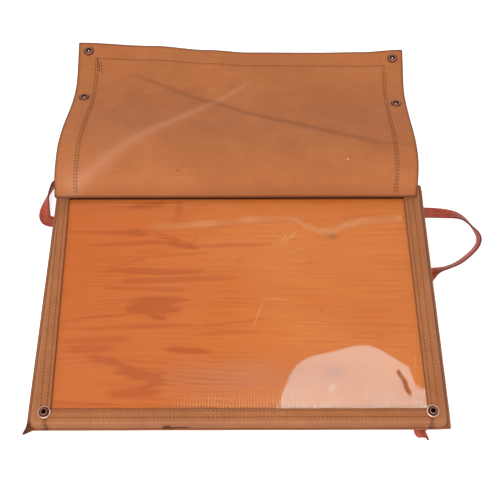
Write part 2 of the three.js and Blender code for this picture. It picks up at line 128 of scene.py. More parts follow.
# evenly spread places from a to b, with closer ones in a band about each centre
def denser(a, b, count, centres, reach, extra):
    parts = [np.linspace(a, b, count)]
    for centre in centres:
        parts.append(np.linspace(centre - reach, centre + reach, extra))
    places = np.unique(np.round(np.concatenate(parts), 6))
    places = places[(places >= a) & (places <= b)]
    keep = np.concatenate([[True], np.diff(places) > (b - a) * 1e-5])
    return places[keep]


# centripetal Catmull-Rom curve through points, at shares t of the way counted in points
def splinePoints(points, t):
    points = np.asarray(points, float)
    ends = [2 * points[0] - points[1], 2 * points[-1] - points[-2]]
    full = np.vstack([ends[0], points, ends[1]])
    p = np.clip(np.asarray(t, float), 0, 1) * (len(points) - 1)
    i = np.minimum(p.astype(int), len(points) - 2)
    w = (p - i)[:, None]
    x0, x1, x2, x3 = full[i], full[i + 1], full[i + 2], full[i + 3]
    dt = [np.sqrt(np.linalg.norm(b - a, axis=1))[:, None] for a, b in ((x0, x1), (x1, x2), (x2, x3))]
    m1 = ((x1 - x0) / dt[0] - (x2 - x0) / (dt[0] + dt[1]) + (x2 - x1) / dt[1]) * dt[1]
    m2 = ((x2 - x1) / dt[1] - (x3 - x1) / (dt[1] + dt[2]) + (x3 - x2) / dt[2]) * dt[1]
    c2 = -3 * x1 + 3 * x2 - 2 * m1 - m2
    c3 = 2 * x1 - 2 * x2 + m1 + m2
    return x1 + m1 * w + c2 * w ** 2 + c3 * w ** 3


# running length along a line of points
def runLength(points):
    return np.concatenate([[0], np.cumsum(np.linalg.norm(np.diff(points, axis=0), axis=1))])


# vectors divided by their lengths
def unit(v):
    return v / np.maximum(np.linalg.norm(v, axis=-1, keepdims=True), 1e-12)


# mesh object from points in metres, faces in a few arrays of indices, one UV pair and one value per point
def meshObject(name, points, faces, uv=None, values=None, smooth=True):
    mesh = bpy.data.meshes.new(name)
    mesh.from_pydata(points.tolist(), [], [face for part in faces for face in part.tolist()])
    if uv is not None:
        index = np.empty(len(mesh.loops), np.int32)
        mesh.loops.foreach_get("vertex_index", index)
        layer = mesh.uv_layers.new(name="cloth")
        layer.data.foreach_set("uv", uv[index].astype(np.float32).ravel())
    for key, value in (values or {}).items():
        layer = mesh.attributes.new(key, "FLOAT", "POINT")
        layer.data.foreach_set("value", value.astype(np.float32).ravel())
    mesh.polygons.foreach_set("use_smooth", np.full(len(mesh.polygons), smooth))
    mesh.update()
    made = bpy.data.objects.new(name, mesh)
    bpy.context.scene.collection.objects.link(made)
    return made


# material, body, slot and replaced node of a finished piece
def dress(made, material, node=None):
    made.data.materials.append(material)
    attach(made, "root")
    if node:
        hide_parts(node)


# unit normal of a grid surface, the cross product of its central differences, and both directions
def gridNormals(middle):
    across, along = np.empty_like(middle), np.empty_like(middle)
    across[:, 1:-1] = middle[:, 2:] - middle[:, :-2]
    across[:, 0], across[:, -1] = middle[:, 1] - middle[:, 0], middle[:, -1] - middle[:, -2]
    along[1:-1] = middle[2:] - middle[:-2]
    along[0], along[-1] = middle[1] - middle[0], middle[-1] - middle[-2]
    return unit(np.cross(across, along)), unit(across), unit(along)


# closed sheet about a middle surface (rows, columns, 3), above and below it by given distances along
# its normal; the rim is a half round of the same thickness, pushed out by rimOut
def sheetObject(name, middle, above, below, uv, values=None, rimOut=0.25 * mm, rings=3):
    rows, columns = middle.shape[:2]
    normal, across, along = gridNormals(middle)
    top = middle + normal * above[..., None]
    bottom = middle - normal * below[..., None]
    outward = np.zeros_like(middle)
    outward[0] -= along[0]
    outward[-1] += along[-1]
    outward[:, 0] -= across[:, 0]
    outward[:, -1] += across[:, -1]
    outward = unit(outward)
    grid = np.arange(rows * columns).reshape(rows, columns)
    loop = np.concatenate([grid[0, :-1], grid[:-1, -1], grid[-1, :0:-1], grid[:0:-1, 0]])
    rim, rimNormal, rimWay = [part.reshape(-1, 3)[loop] for part in (middle, normal, outward)]
    up, down = above.reshape(-1)[loop][:, None], below.reshape(-1)[loop][:, None]
    count = rows * columns
    points = [top.reshape(-1, 3), bottom.reshape(-1, 3)]
    edges = [loop]
    for k in range(rings):
        angle = math.pi * (k + 1) / (rings + 1)
        lift = math.cos(angle) * (up if math.cos(angle) > 0 else down)
        points.append(rim + rimNormal * lift + rimWay * math.sin(angle) * rimOut)
        edges.append(2 * count + k * len(loop) + np.arange(len(loop)))
    edges.append(loop + count)
    a, b, c, d = grid[:-1, :-1], grid[:-1, 1:], grid[1:, 1:], grid[1:, :-1]
    quads = np.stack([a, b, c, d], -1).reshape(-1, 4)
    faces = [quads, quads[:, ::-1] + count]
    for first, second in zip(edges[:-1], edges[1:]):
        nextFirst, nextSecond = np.roll(first, -1), np.roll(second, -1)
        faces.append(np.stack([nextFirst, first, second, nextSecond], -1))
    index = np.concatenate([np.arange(count), np.arange(count)] + [loop] * rings)
    values = {key: value.reshape(-1)[index] for key, value in (values or {}).items()}
    return meshObject(name, np.concatenate(points), faces, uv.reshape(-1, 2)[index], values)


# UV in metres from the mean running length along rows and columns
def lengthUv(middle):
    across = np.linalg.norm(np.diff(middle, axis=1), axis=2).mean(axis=0)
    along = np.linalg.norm(np.diff(middle, axis=0), axis=2).mean(axis=1)
    u = np.concatenate([[0], np.cumsum(across)])
    v = np.concatenate([[0], np.cumsum(along)])
    return np.stack(np.meshgrid(u, v), -1)


# faces of a closed tube of rings: quads from ring to ring, and a fan to one more point at either end
def tubeFaces(rings, sides):
    grid = np.arange(rings * sides).reshape(rings, sides)
    after = np.roll(grid, -1, axis=1)
    quads = np.stack([grid[:-1], after[:-1], after[1:], grid[1:]], -1).reshape(-1, 4)
    low, high = np.full(sides, grid.size), np.full(sides, grid.size + 1)
    fans = [np.stack([after[0], grid[0], low], -1), np.stack([grid[-1], after[-1], high], -1)]
    return quads, np.vstack(fans)


# solid turned about Z from a profile of (radius, height), its corners cut twice to round them
def turnedParts(profile, segments, rounds=2):
    line = np.asarray(profile, float)
    for _ in range(rounds):
        first = 0.75 * line[:-1] + 0.25 * line[1:]
        second = 0.25 * line[:-1] + 0.75 * line[1:]
        line = np.vstack([line[:1], np.stack([first, second], 1).reshape(-1, 2), line[-1:]])
    inner = line[1:-1]
    turn = np.linspace(0, 2 * math.pi, segments, endpoint=False)
    ring = np.stack([
        inner[:, :1] * np.cos(turn), inner[:, :1] * np.sin(turn),
        np.repeat(inner[:, 1:], segments, axis=1),
    ], -1)
    points = np.vstack([ring.reshape(-1, 3), [[0, 0, line[0, 1]], [0, 0, line[-1, 1]]]])
    radii = np.concatenate([np.repeat(inner[:, 0], segments), line[[0, -1], 0]])
    return points, tubeFaces(len(inner), segments), radii


class Wire:
    # one socket of a node tree; sums and products of wires add their Math nodes
    def __init__(self, tree, socket=None):
        self.tree, self.socket = tree, socket

    # any node: its settings first, then the values or links of its sockets
    def node(self, kind, settings=None, sockets=None, out=0):
        made = self.tree.nodes.new("ShaderNode" + kind)
        for key, value in (settings or {}).items():
            setattr(made, key, value)
        for key, value in (sockets or {}).items():
            if isinstance(value, Wire):
                self.tree.links.new(value.socket, made.inputs[key])
            else:
                made.inputs[key].default_value = value
        return Wire(self.tree, made.outputs[out])

    def math(self, operation, a, b=0.0, clamp=False):
        return self.node("Math", {"operation": operation, "use_clamp": clamp}, {0: a, 1: b})

    def __add__(self, other):
        return self.math("ADD", self, other)

    def __radd__(self, other):
        return self.math("ADD", other, self)

    def __sub__(self, other):
        return self.math("SUBTRACT", self, other)

    def __rsub__(self, other):
        return self.math("SUBTRACT", other, self)

    def __mul__(self, other):
        return self.math("MULTIPLY", self, other)

    def __truediv__(self, other):
        return self.math("DIVIDE", self, other)

    def __pow__(self, other):
        return self.math("POWER", self, other)

    def sine(self):
        return self.math("SINE", self)

    def exponent(self):
        return self.math("EXPONENT", self)

    def clamped(self):
        return self.math("ADD", self, 0.0, True)

    # 0 at low and below, 1 at high and above, eased between
    def between(self, low, high):
        return self.node(
            "MapRange", {"interpolation_type": "SMOOTHSTEP"},
            {"Value": self, "From Min": low, "From Max": high},
        )

    # bell about a middle: exp(-((x - middle) / spread)^2)
    def bellAt(self, middle, spread):
        scaled = (self - middle) / spread
        return (scaled * scaled * -1.0).exponent()

    def mixed(self, share, first, second):
        return self.node("Mix", {"data_type": "RGBA"}, {0: share, 6: first, 7: second}, 2)

    def attribute(self, name):
        return self.node("Attribute", {"attribute_name": name}, out=2)

    # first and second part of a vector
    def parts(self):
        first = self.node("SeparateXYZ", {}, {0: self})
        return first, Wire(self.tree, first.socket.node.outputs[1])

    def noise(self, scale, detail=2.0, roughness=0.5, distortion=0.0):
        return self.node("TexNoise", {}, {
            "Vector": self, "Scale": scale, "Detail": detail, "Roughness": roughness,
            "Distortion": distortion,
        })

    # noise of the place times three factors, so drawn out where a factor is small
    def drawn(self, across, along, detail, roughness):
        place = self.node("VectorMath", {"operation": "MULTIPLY"}, {0: self, 1: (across, along, 1.0)})
        return place.noise(1.0, detail, roughness)

    def bump(self, strength, distance, height):
        return self.node("Bump", {}, {"Strength": strength, "Distance": distance * mm, "Height": height})


# greatest of several wires
def greatest(wires):
    most = wires[0]
    for wire in wires[1:]:
        most = most.math("MAXIMUM", most, wire)
    return most


# object position, and the case's own millimetres across and back
def casePlace(wires):
    place = wires.node("TexCoord", out=3)
    x, y = place.parts()
    return place, (x - float(origin[0])) * (1 / mm), (y - float(origin[1])) * (1 / mm)


# a colour given as sRGB, 0 to 255, as linear values: ((c + 0.055) / 1.055)^2.4, and c / 12.92 in the dark
def tint(*colour):
    shares = [c / 255 for c in colour]
    return (*[c / 12.92 if c <= 0.04045 else ((c + 0.055) / 1.055) ** 2.4 for c in shares], 1.0)


# new material, its empty tree and a Principled shader with constant values set on its sockets
def newMaterial(name, constants):
    material = bpy.data.materials.new(name)
    material.use_nodes = True
    tree = material.node_tree
    tree.nodes.clear()
    shader = tree.nodes.new("ShaderNodeBsdfPrincipled")
    for key, value in constants.items():
        shader.inputs[key].default_value = value
    output = tree.nodes.new("ShaderNodeOutputMaterial")
    tree.links.new(shader.outputs[0], output.inputs["Surface"])
    return material, Wire(tree), shader


# wires led to the shader's sockets by name
def connect(wires, shader, links):
    for key, wire in links.items():
        wires.tree.links.new(wire.socket, shader.inputs[key])


canvasLook = {
    "pitch": 0.75,                                  # thread to thread
    "weaveDepth": 0.10, "threadDepth": 0.28,        # shares of the bump's distance
    "patch": 9.0, "mottle": 42.0, "fleck": 700.0,   # waves per metre
    "bump": (0.55, 0.35),                           # strength, distance
    "drawn": [              # weft, warp, slub: waves per metre each way, detail, roughness
        (35.0, 900.0, 3.0, 0.6), (900.0, 35.0, 3.0, 0.6), (12.0, 300.0, 4.0, 0.65),
    ],
}


# Worn cotton duck. Height: the product of two sines of the cloth's own lengths, one wave a thread,
# plus noise drawn out along the threads. Colour: broad patches and slubs between a deep and a light
# tint, darker where grime lies and where shade is painted in folds, creases and under edges, and greyer
# and paler where the cloth is rubbed and where sheen is painted on the flap. Marks are bells of the
# distance from (across, along, size, colour) in the cloth's own lengths.
def canvasMaterial(name, deep, light, paleTint, darkTint, marks=(), s=canvasLook):
    material, wires, shader = newMaterial(name, {
        "Roughness": 0.9, "Specular IOR Level": 0.15, "Sheen Weight": 0.05, "Sheen Roughness": 0.5,
    })
    cloth = wires.node("UVMap", {"uv_map": "cloth"})
    u, v = cloth.parts()
    wave = 2 * math.pi / (s["pitch"] * mm)
    weave = (u * wave).sine() * (v * wave).sine()
    weft, warp, slub = [cloth.drawn(*row) for row in s["drawn"]]
    patch = cloth.noise(s["patch"], 3.0, 0.55, 0.3)
    mottle = cloth.noise(s["mottle"], 4.0, 0.65)
    fleck = cloth.noise(s["fleck"], 2.0, 0.7)
    grimeAndShade = wires.attribute("grimeAndShade")
    rubAndSheen = wires.attribute("rubAndSheen")
    body = (patch * 0.9 + mottle * 0.6 - 0.25).between(0.2, 0.85)
    thread = (weft + warp) * 0.3 + slub * 0.4
    shade = (body * 0.34 + thread * 0.66).between(0.2, 0.82)
    base = wires.mixed(shade, deep, light)
    base = wires.mixed((rubAndSheen * (0.55 + thread * 0.9)).clamped(), base, paleTint)
    base = wires.mixed((grimeAndShade * (0.7 + mottle * 0.6)).clamped(), base, darkTint)
    base = wires.mixed(fleck.between(0.66, 0.8) * 0.35, base, darkTint)
    for across, along, size, colour in marks:
        far = u.bellAt(across * mm, size * mm) * v.bellAt(along * mm, size * mm)
        base = wires.mixed(far * 0.85, base, colour)
    height = weave * s["weaveDepth"] + thread * s["threadDepth"]
    connect(wires, shader, {"Base Color": base, "Normal": wires.bump(*s["bump"], height)})
    return material


outerCanvas = canvasMaterial(
    "canvas_outer", tint(152, 93, 57), tint(182, 115, 72), tint(172, 124, 94), tint(84, 46, 30)
)
innerCanvas = canvasMaterial(
    "canvas_inner", tint(172, 101, 59), tint(193, 118, 71), tint(208, 142, 108), tint(92, 54, 34),
    [(-66.8, 52.2, 1.1, tint(110, 52, 36)), (125.9, 66.8, 0.9, tint(244, 208, 176))],
)

threadLook = {
    "sewing_thread": (tint(56, 30, 19), tint(108, 64, 42)),
    "dark_thread": (tint(38, 18, 14), tint(74, 40, 30)),
}


# sewing thread: a dark and a light tint, mixed by fine noise of the object position
def threadMaterial(name, s):
    material, wires, shader = newMaterial(name, {"Roughness": 0.85, "Specular IOR Level": 0.2})
    tone = wires.node("TexCoord", out=3).noise(900.0, 2.0, 0.6)
    connect(wires, shader, {"Base Color": wires.mixed(tone.between(0.3, 0.7), *s[name])})
    return material


stitchThread = threadMaterial("sewing_thread", threadLook)
darkThread = threadMaterial("dark_thread", threadLook)

leatherLook = {
    "deep": tint(128, 48, 32), "light": tint(188, 82, 54), "edge": tint(74, 34, 28), "bump": (0.5, 0.3),
}


# Leather strap. Colour between a deep and a light tint by noise drawn out along the strap, with dark
# cut edges; height from small cells, the grain, and fine wrinkles across.
def leatherMaterial(name, s):
    material, wires, shader = newMaterial(name, {"Roughness": 0.5, "Specular IOR Level": 0.28})
    place = wires.node("UVMap", {"uv_map": "cloth"})
    edge = wires.attribute("grimeAndShade")
    streak = place.drawn(90.0, 26.0, 4.0, 0.6)
    spot = place.noise(240.0, 3.0, 0.6)
    grain = wires.node("TexVoronoi", {"feature": "DISTANCE_TO_EDGE"}, {"Vector": place, "Scale": 1400.0})
    wrinkle = place.drawn(60.0, 520.0, 3.0, 0.6)
    base = wires.mixed((streak * 0.7 + spot * 0.3).between(0.32, 0.68), s["deep"], s["light"])
    base = wires.mixed(edge, base, s["edge"])
    height = grain.between(0.0, 0.25) * 0.35 + wrinkle * 0.9
    connect(wires, shader, {
        "Base Color": base, "Normal": wires.bump(*s["bump"], height), "Roughness": 0.38 + spot * 0.3,
    })
    return material


strapLeather = leatherMaterial("leather", leatherLook)

brassLook = {
    "bright": tint(232, 188, 170), "dull": tint(122, 70, 54), "dark": tint(30, 16, 14),
    "bump": (0.25, 0.1),
}


# Aged brass: rubbed bright on its high rims, dull and rough between, near black where grime sits.
def brassMaterial(name, s):
    material, wires, shader = newMaterial(name, {"Metallic": 1.0})
    place = wires.node("TexCoord", out=3)
    grimeAndShade = wires.attribute("grimeAndShade")
    rubAndSheen = wires.attribute("rubAndSheen")
    tarnish = place.noise(700.0, 3.0, 0.6)
    base = wires.mixed((rubAndSheen * (0.6 + tarnish * 0.8)).clamped(), s["dull"], s["bright"])
    base = wires.mixed((grimeAndShade * (0.8 + tarnish * 0.4)).clamped(), base, s["dark"])
    rough = (0.5 - rubAndSheen * 0.25 + grimeAndShade * 0.3 + tarnish * 0.1).clamped()
    bump = wires.bump(*s["bump"], tarnish)
    connect(wires, shader, {"Base Color": base, "Roughness": rough, "Normal": bump})
    return material


agedBrass = brassMaterial("aged_brass", brassLook)

# figure of the plywood face: (across, back, half length, half thickness, tilt, strength)
woodLook = {
    "marks": [
        (-145, 219, 45, 1.3, -0.01, 0.6), (-114, 218, 10, 2.3, -0.12, 0.9), (-72, 210, 28, 1.2, -0.29, 0.6),
        (-5, 203, 39, 1.2, 0.03, 0.5), (-121, 205, 39, 1.6, 0.05, 0.6), (-63, 203, 20, 1.6, -0.19, 0.7),
        (-125, 180, 27, 1.4, 0.36, 0.4), (-62, 192, 36, 1.1, 0.07, 0.4), (-89, 171, 52, 2.0, -0.02, 0.7),
        (-68, 161, 64, 2.0, 0.02, 0.6), (-99, 150, 46, 1.8, -0.03, 0.5), (-87, 136, 29, 2.8, 0.04, 0.9),
        (-92, 126, 29, 3.2, -0.02, 0.9), (-86, 116, 11, 1.8, -0.16, 0.8), (-141, 119, 46, 1.1, 0.1, 0.5),
        (-115, 106, 74, 1.0, 0.01, 0.5), (-6, 111, 34, 1.0, 0.15, 0.4), (-149, 92, 36, 2.5, 0.03, 0.5),
        (-156, 82, 24, 2.6, 0.02, 0.6), (-135, 68, 21, 2.6, -0.31, 0.8), (-100, 53, 25, 3.2, -0.26, 1.0),
        (-88, 45, 12, 3.8, 0.77, 0.9), (-53, 80, 23, 2.0, -0.05, 0.8), (-108, 35, 28, 3.0, 0.02, 0.7),
        (-155, 25, 36, 1.1, -0.06, 0.5), (-105, 254, 20, 2.4, 0.13, 0.6), (-68, 243, 4, 9, 0, 0.5),
        (-13, 99, 38, 1.3, 0.07, 0.3),
    ],
    "spots": [(77, 182), (89, 126), (-48, 212), (-54, 201), (-72, 167), (0, 185), (-113, 220), (150, 96)],
    "spotSize": 1.6, "smudge": (104, 214, 5.0, 4.0),
    "lineSpacing": 5.2, "swell": 1.8, "halo": 0.3,   # marks are drawn thicker, and partly left soft
    "bump": (0.2, 0.2),
    "drawn": [                 # waves a metre across and back, detail, roughness
        (6.0, 16.0, 3.0, 0.55), (30.0, 420.0, 4.0, 0.65),                             # drift, ragged
        (2.2, 9.0, 3.0, 0.5), (7.0, 30.0, 3.0, 0.6), (24.0, 1500.0, 3.0, 0.65),       # level, strong, fibre
        (11.0, 420.0, 4.0, 0.7), (60.0, 2600.0, 2.0, 0.6), (5.0, 14.0, 3.0, 0.55),    # grain, pores, broad
    ],
    "bend": (46.0, 8.0, 3.4),  # ragged across, drift and ragged back, in millimetres
    "light": tint(221, 133, 58), "middle": tint(212, 118, 44), "left": tint(202, 98, 34),
    "late": tint(176, 71, 14),
    "spotColour": tint(140, 76, 34), "smudgeColour": tint(128, 96, 40),
}


# Plywood face. Each mark of the figure is exp(-(dx/length)^4 - (dy/thickness)^2) on coordinates that
# noise has bent, so its ends are ragged, and is then sharpened, with a share of it left soft; fine
# lines are a sharpened sine of the bent way back.
def woodMaterial(name, s):
    material, wires, shader = newMaterial(name, {"Roughness": 0.7, "Specular IOR Level": 0.05})
    place, x, y = casePlace(wires)
    drift, ragged, level, strong, fibre, grain, pores, broad = [place.drawn(*row) for row in s["drawn"]]
    bendX, driftY, bendY = s["bend"]
    bentX = x + (ragged - 0.5) * bendX
    bentY = y + (drift - 0.5) * driftY + (ragged - 0.5) * bendY
    marks = []
    for across, back, reach, thick, slope, strength in s["marks"]:
        dx = bentX - across
        far = dx * (1 / reach)
        off = (bentY - back - dx * slope) * (1 / (thick * s["swell"]))
        square = far * far
        mark = ((square * square + off * off) * -1.0).exponent()
        marks.append((mark.between(0.26, 0.5) + mark * s["halo"]) * strength)
    figure = greatest(marks)
    spots = []
    for across, back in s["spots"]:
        dx, dy = x - across, y - back
        spots.append(((dx * dx + dy * dy) * (-1 / s["spotSize"] ** 2)).exponent())
    across, back, reachX, reachY = s["smudge"]
    smudge = x.bellAt(across, reachX) * y.bellAt(back, reachY)
    field = y + level * 60.0 + (ragged - 0.5) * 4.0
    lines = ((field * (2 * math.pi / s["lineSpacing"])).sine() * 0.5 + 0.5) ** 3.0
    strong = strong.between(0.42, 0.7)
    left = 1.0 - x.between(-60.0, 60.0) * 0.55
    late = (figure * (0.55 + fibre * 0.7) + lines * strong * left * 0.8 + (grain - 0.47) * 1.9).clamped()
    base = wires.mixed(broad.between(0.3, 0.7), s["middle"], s["light"])
    base = wires.mixed((1.0 - x.between(-190.0, 60.0)) * (0.5 + broad * 0.5), base, s["left"])
    base = wires.mixed(late * 0.9, base, s["late"])
    base = wires.mixed(pores.between(0.58, 0.74) * 0.3, base, s["late"])
    base = wires.mixed(greatest(spots) * 0.8, base, s["spotColour"])
    base = wires.mixed(smudge * 0.85, base, s["smudgeColour"])
    connect(wires, shader, {"Base Color": base, "Normal": wires.bump(*s["bump"], fibre)})
    return material


plywood = woodMaterial("plywood", woodLook)
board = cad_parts["board"]
for materialSlot in board.material_slots:
    materialSlot.material = plywood
print("materials made")

filmSizes = {
    "columns": 232, "rows": 176,
    "waves": [                      # wavelength, heading in degrees, phase, height
        (150, 20, 0.4, 0.05), (95, 75, 1.3, 0.05), (61, 130, 2.9, 0.03), (43, 55, 4.4, 0.014),
        (23, 105, 0.9, 0.003),
    ],
    "flatEdge": 12, "rise": (2, 16),   # no waves near the strips, full ones 14 mm further in
    "pucker": (9.5, 18, 26, 0.005),    # wavelength, where it starts to fade, how far that goes, height
    "drift": [(5, 31, 0), (2.2, 9.7, 1)], "lean": 0.12,   # puckers' aside: (size, length, phase), lean
    "ridge": [                      # the long ridge across the window: across, back
        (-205, 228), (-79, 226), (-32, 230), (20, 235), (48, 236), (64, 234), (75, 226), (90, 220),
        (105, 220), (120, 228), (143, 233), (205, 237),
    ],
    "ridgeEnds": (-112, 188), "ridgeFades": (25, 6), "ridgeWidth": 5.0, "ridgeHeight": 0.15,
    "ridgePatches": 0.25,
    "scratches": [                  # from, to
        ((45, 201), (55, 220)), ((51, 203), (60, 218)), ((58, 211), (65, 222)), ((53, 193), (74, 200)),
        ((15, 107), (27, 137)), ((28, 139), (53, 137)), ((41, 209), (68, 214)), ((184, 75), (182, 57)),
    ],
    "scratchWidth": 0.5,
    "slits": [((164, 59), (168, 51)), ((168, 51), (175, 31))], "slitWidth": 2.7,
    "stainsAndGlows": [                     # across, back, reach across and back, colour, cloudiness
        # the first entry is a painted glow about the panel's reflection, the second a stain, the third a
        # painted bright spot in the reflection
        (-9, 50, 75, 20, tint(222, 150, 112), 0.12), (100, 57, 8, 5, tint(120, 56, 84), 0.05),
        (96, 40, 4, 3.5, tint(255, 236, 196), 0.14),
    ],
    # comb: spacing, ends and reach of painted sheen lines along the near seam
    "comb": 3.1, "combEnds": (-84, 192), "combBack": (19, 42),
    "foldShade": (259.4, 262.0),
    "base": tint(226, 132, 66), "cloudy": tint(232, 146, 88), "combSheenTint": tint(245, 192, 146),
    "scratchTint": tint(246, 192, 118), "ridgeSheenTint": tint(238, 162, 102),
    "slitTint": tint(158, 84, 46), "shadeTint": tint(76, 32, 14),
    "haze": 0.12,                   # how cloudy the clear film is; below, how much each thing adds
    # below, what each mark adds to the alpha: ridge, streak and comb add painted sheen, shade the painted
    # shadow under the fold; cloud, dust, scratch and slit are the film's own
    "alphaAdded": {
        "cloud": 0.04, "dust": 0.1, "ridge": 0.26, "streak": 0.22, "comb": 0.2, "scratch": 0.28,
        "shade": 0.7, "slit": 0.15,
    },
}


# height of the film above its flat place: long crossing waves, short puckers along the near seam and
# one long ridge across, a bell about a wandering line
def filmHeight(x, y, s):
    z = np.zeros_like(x)
    for length, heading, phase, height in s["waves"]:
        way = math.radians(heading)
        z += height * np.sin(2 * math.pi * (x * math.cos(way) + y * math.sin(way)) / length + phase)
    length, start, reach, height = s["pucker"]
    drift = sum(size * np.sin(x / way + phase) for size, way, phase in s["drift"]) + y * s["lean"]
    back = np.clip((y - start) / reach, 0, 1)
    z += height * (1 - back) ** 2 * np.sin(2 * math.pi * (x + drift) / length)
    return z + s["ridgeHeight"] * bell(y, ridgeBack(x, s), s["ridgeWidth"])


# how far back the ridge lies at each place across
def ridgeBack(x, s):
    line = np.asarray(s["ridge"], float)
    return eased(line[:, 0], line[:, 1], x)


# film: a grid over the board, with the painted sheen along its ridge written as exp(-(distance / width)^4)
# for each point
def makeFilm(s):
    inside = caseSizes["boardClear"] + caseSizes["filmInset"]
    nearHalf = half["near"] - caseSizes["lip"] - caseSizes["wallSlope"] - inside
    x = np.linspace(-1, 1, s["columns"])
    y = np.linspace(faceNear + inside, depth - faceNear - inside, s["rows"])
    share, back = np.meshgrid(x, y)
    wide = nearHalf - caseSizes["farNarrowing"] * back / depth
    middle = np.stack([share * wide, back, np.full_like(back, filmTop - caseSizes["film"] / 2)], -1)
    across = middle[..., 0]
    edge = np.minimum(wide - np.abs(across) - s["flatEdge"], y.max() - back)
    middle[..., 2] += filmHeight(across, back, s) * ramp(edge, *s["rise"])
    first, last = s["ridgeEnds"]
    # painted sheen: a pale band along the ridge, standing in for the light that the ridge reflects
    ridgeSheen = np.exp(-(((back - ridgeBack(across, s)) / s["ridgeWidth"]) ** 4))
    fadeIn, fadeOut = s["ridgeFades"]
    ridgeSheen *= ramp(across, first, first + fadeIn) * (1 - ramp(across, last - fadeOut, last))
    patches = s["ridgePatches"]
    ridgeSheen *= 1 - patches + patches * np.sin(across / 13 + 2 * np.sin(across / 29))
    thick = np.full(back.shape, caseSizes["film"] / 2 * mm)
    return sheetObject(
        "window_sheet", placed(middle), thick, thick, middle[..., :2] * mm, {"ridgeSheen": ridgeSheen}
    )


# greatest of several lines' bells: each the distance from its line over a width, squared, with its ends
# rounded off by the fourth power of the way along
def lineMarks(x, y, lines, width, wobble):
    marks = []
    for (x0, y0), (x1, y1) in lines:
        length = math.hypot(x1 - x0, y1 - y0)
        dx, dy = x - (x0 + x1) / 2, y - (y0 + y1) / 2
        along = (dx * ((x1 - x0) / length) + dy * ((y1 - y0) / length)) * (2 / length)
        off = (dx * ((y1 - y0) / length) - dy * ((x1 - x0) / length) + wobble) * (1 / width)
        square = along * along
        marks.append(((square * square + off * off) * -1.0).exponent())
    return greatest(marks)


# Clear film gone amber: mostly see-through, glossy, a little cloudy in soft patches and in stains, with a
# painted glow about the panel's reflection and a painted bright spot in it, a painted pale sheen along the
# ridge, fine scratches, a slit that has lost its gloss, a comb of fine lines of painted sheen along the near
# seam, a sharpened sine of the way across, and a painted shadow line under the flap's fold. The coat's share
# is the clear film's cloudiness over that of the place, so that clouds and painted marks add no gloss.
def filmMaterial(name, s):
    material, wires, shader = newMaterial(name, {
        "Specular IOR Level": 0.1, "Coat Roughness": 0.03, "Coat IOR": 1.9,
    })
    place, x, y = casePlace(wires)
    ridgeSheen = wires.attribute("ridgeSheen")
    cloud = place.drawn(7.0, 9.0, 3.0, 0.5)
    dust = place.noise(900.0, 2.0, 0.6).between(0.7, 0.8)
    streak = place.drawn(30.0, 420.0, 3.0, 0.6)
    wobble = place.noise(120.0, 2.0, 0.5) - 0.5
    scratches = lineMarks(x, y, s["scratches"], s["scratchWidth"], wobble * 5.0)
    slit = lineMarks(x, y, s["slits"], s["slitWidth"], wobble * 7.0).between(0.3, 0.5)
    low, high = s["combBack"]
    first, last = s["combEnds"]
    # painted sheen: fine pale lines just above the near seam, standing in for light caught by the puckers
    comb = ((x * (2 * math.pi / s["comb"]) + wobble * 9.0).sine() * 0.5 + 0.5) ** 3.0
    comb = comb * (1.0 - y.between(low, high)) * x.between(first, first + 30.0) * (0.5 + cloud)
    shade = y.between(*s["foldShade"])
    base = wires.mixed(cloud.between(0.35, 0.7), s["base"], s["cloudy"])
    more = s["alphaAdded"]
    alpha = s["haze"] + cloud * more["cloud"] + dust * more["dust"]
    for across, back, reachX, reachY, colour, strength in s["stainsAndGlows"]:
        # the table's entries: a painted glow, a stain and a painted bright spot
        filmMark = x.bellAt(across, reachX) * y.bellAt(back, reachY) * (0.6 + cloud * 0.8)
        base = wires.mixed((filmMark * 0.9).clamped(), base, colour)
        alpha = alpha + filmMark * strength
    # painted sheen along the ridge
    base = wires.mixed((ridgeSheen * 0.9).clamped(), base, s["ridgeSheenTint"])
    base = wires.mixed(comb.clamped(), base, s["combSheenTint"])
    base = wires.mixed(scratches, base, s["scratchTint"])
    base = wires.mixed(slit, base, s["slitTint"])
    base = wires.mixed(shade, base, s["shadeTint"])
    alpha = alpha + ridgeSheen * (more["ridge"] + streak * more["streak"]) + comb * more["comb"]
    alpha = alpha + scratches * more["scratch"] + shade * more["shade"]
    alpha = (alpha + slit * more["slit"]).clamped()
    gloss = (1.0 - slit * 0.95) * (0.85 + cloud * 0.5) * s["haze"] / alpha
    connect(wires, shader, {
        "Base Color": base, "Alpha": alpha, "Roughness": 0.16 + cloud * 0.16, "Coat Weight": gloss.clamped(),
    })
    return material


dress(makeFilm(filmSizes), filmMaterial("clear_film", filmSizes), "window_film")
print("film made")

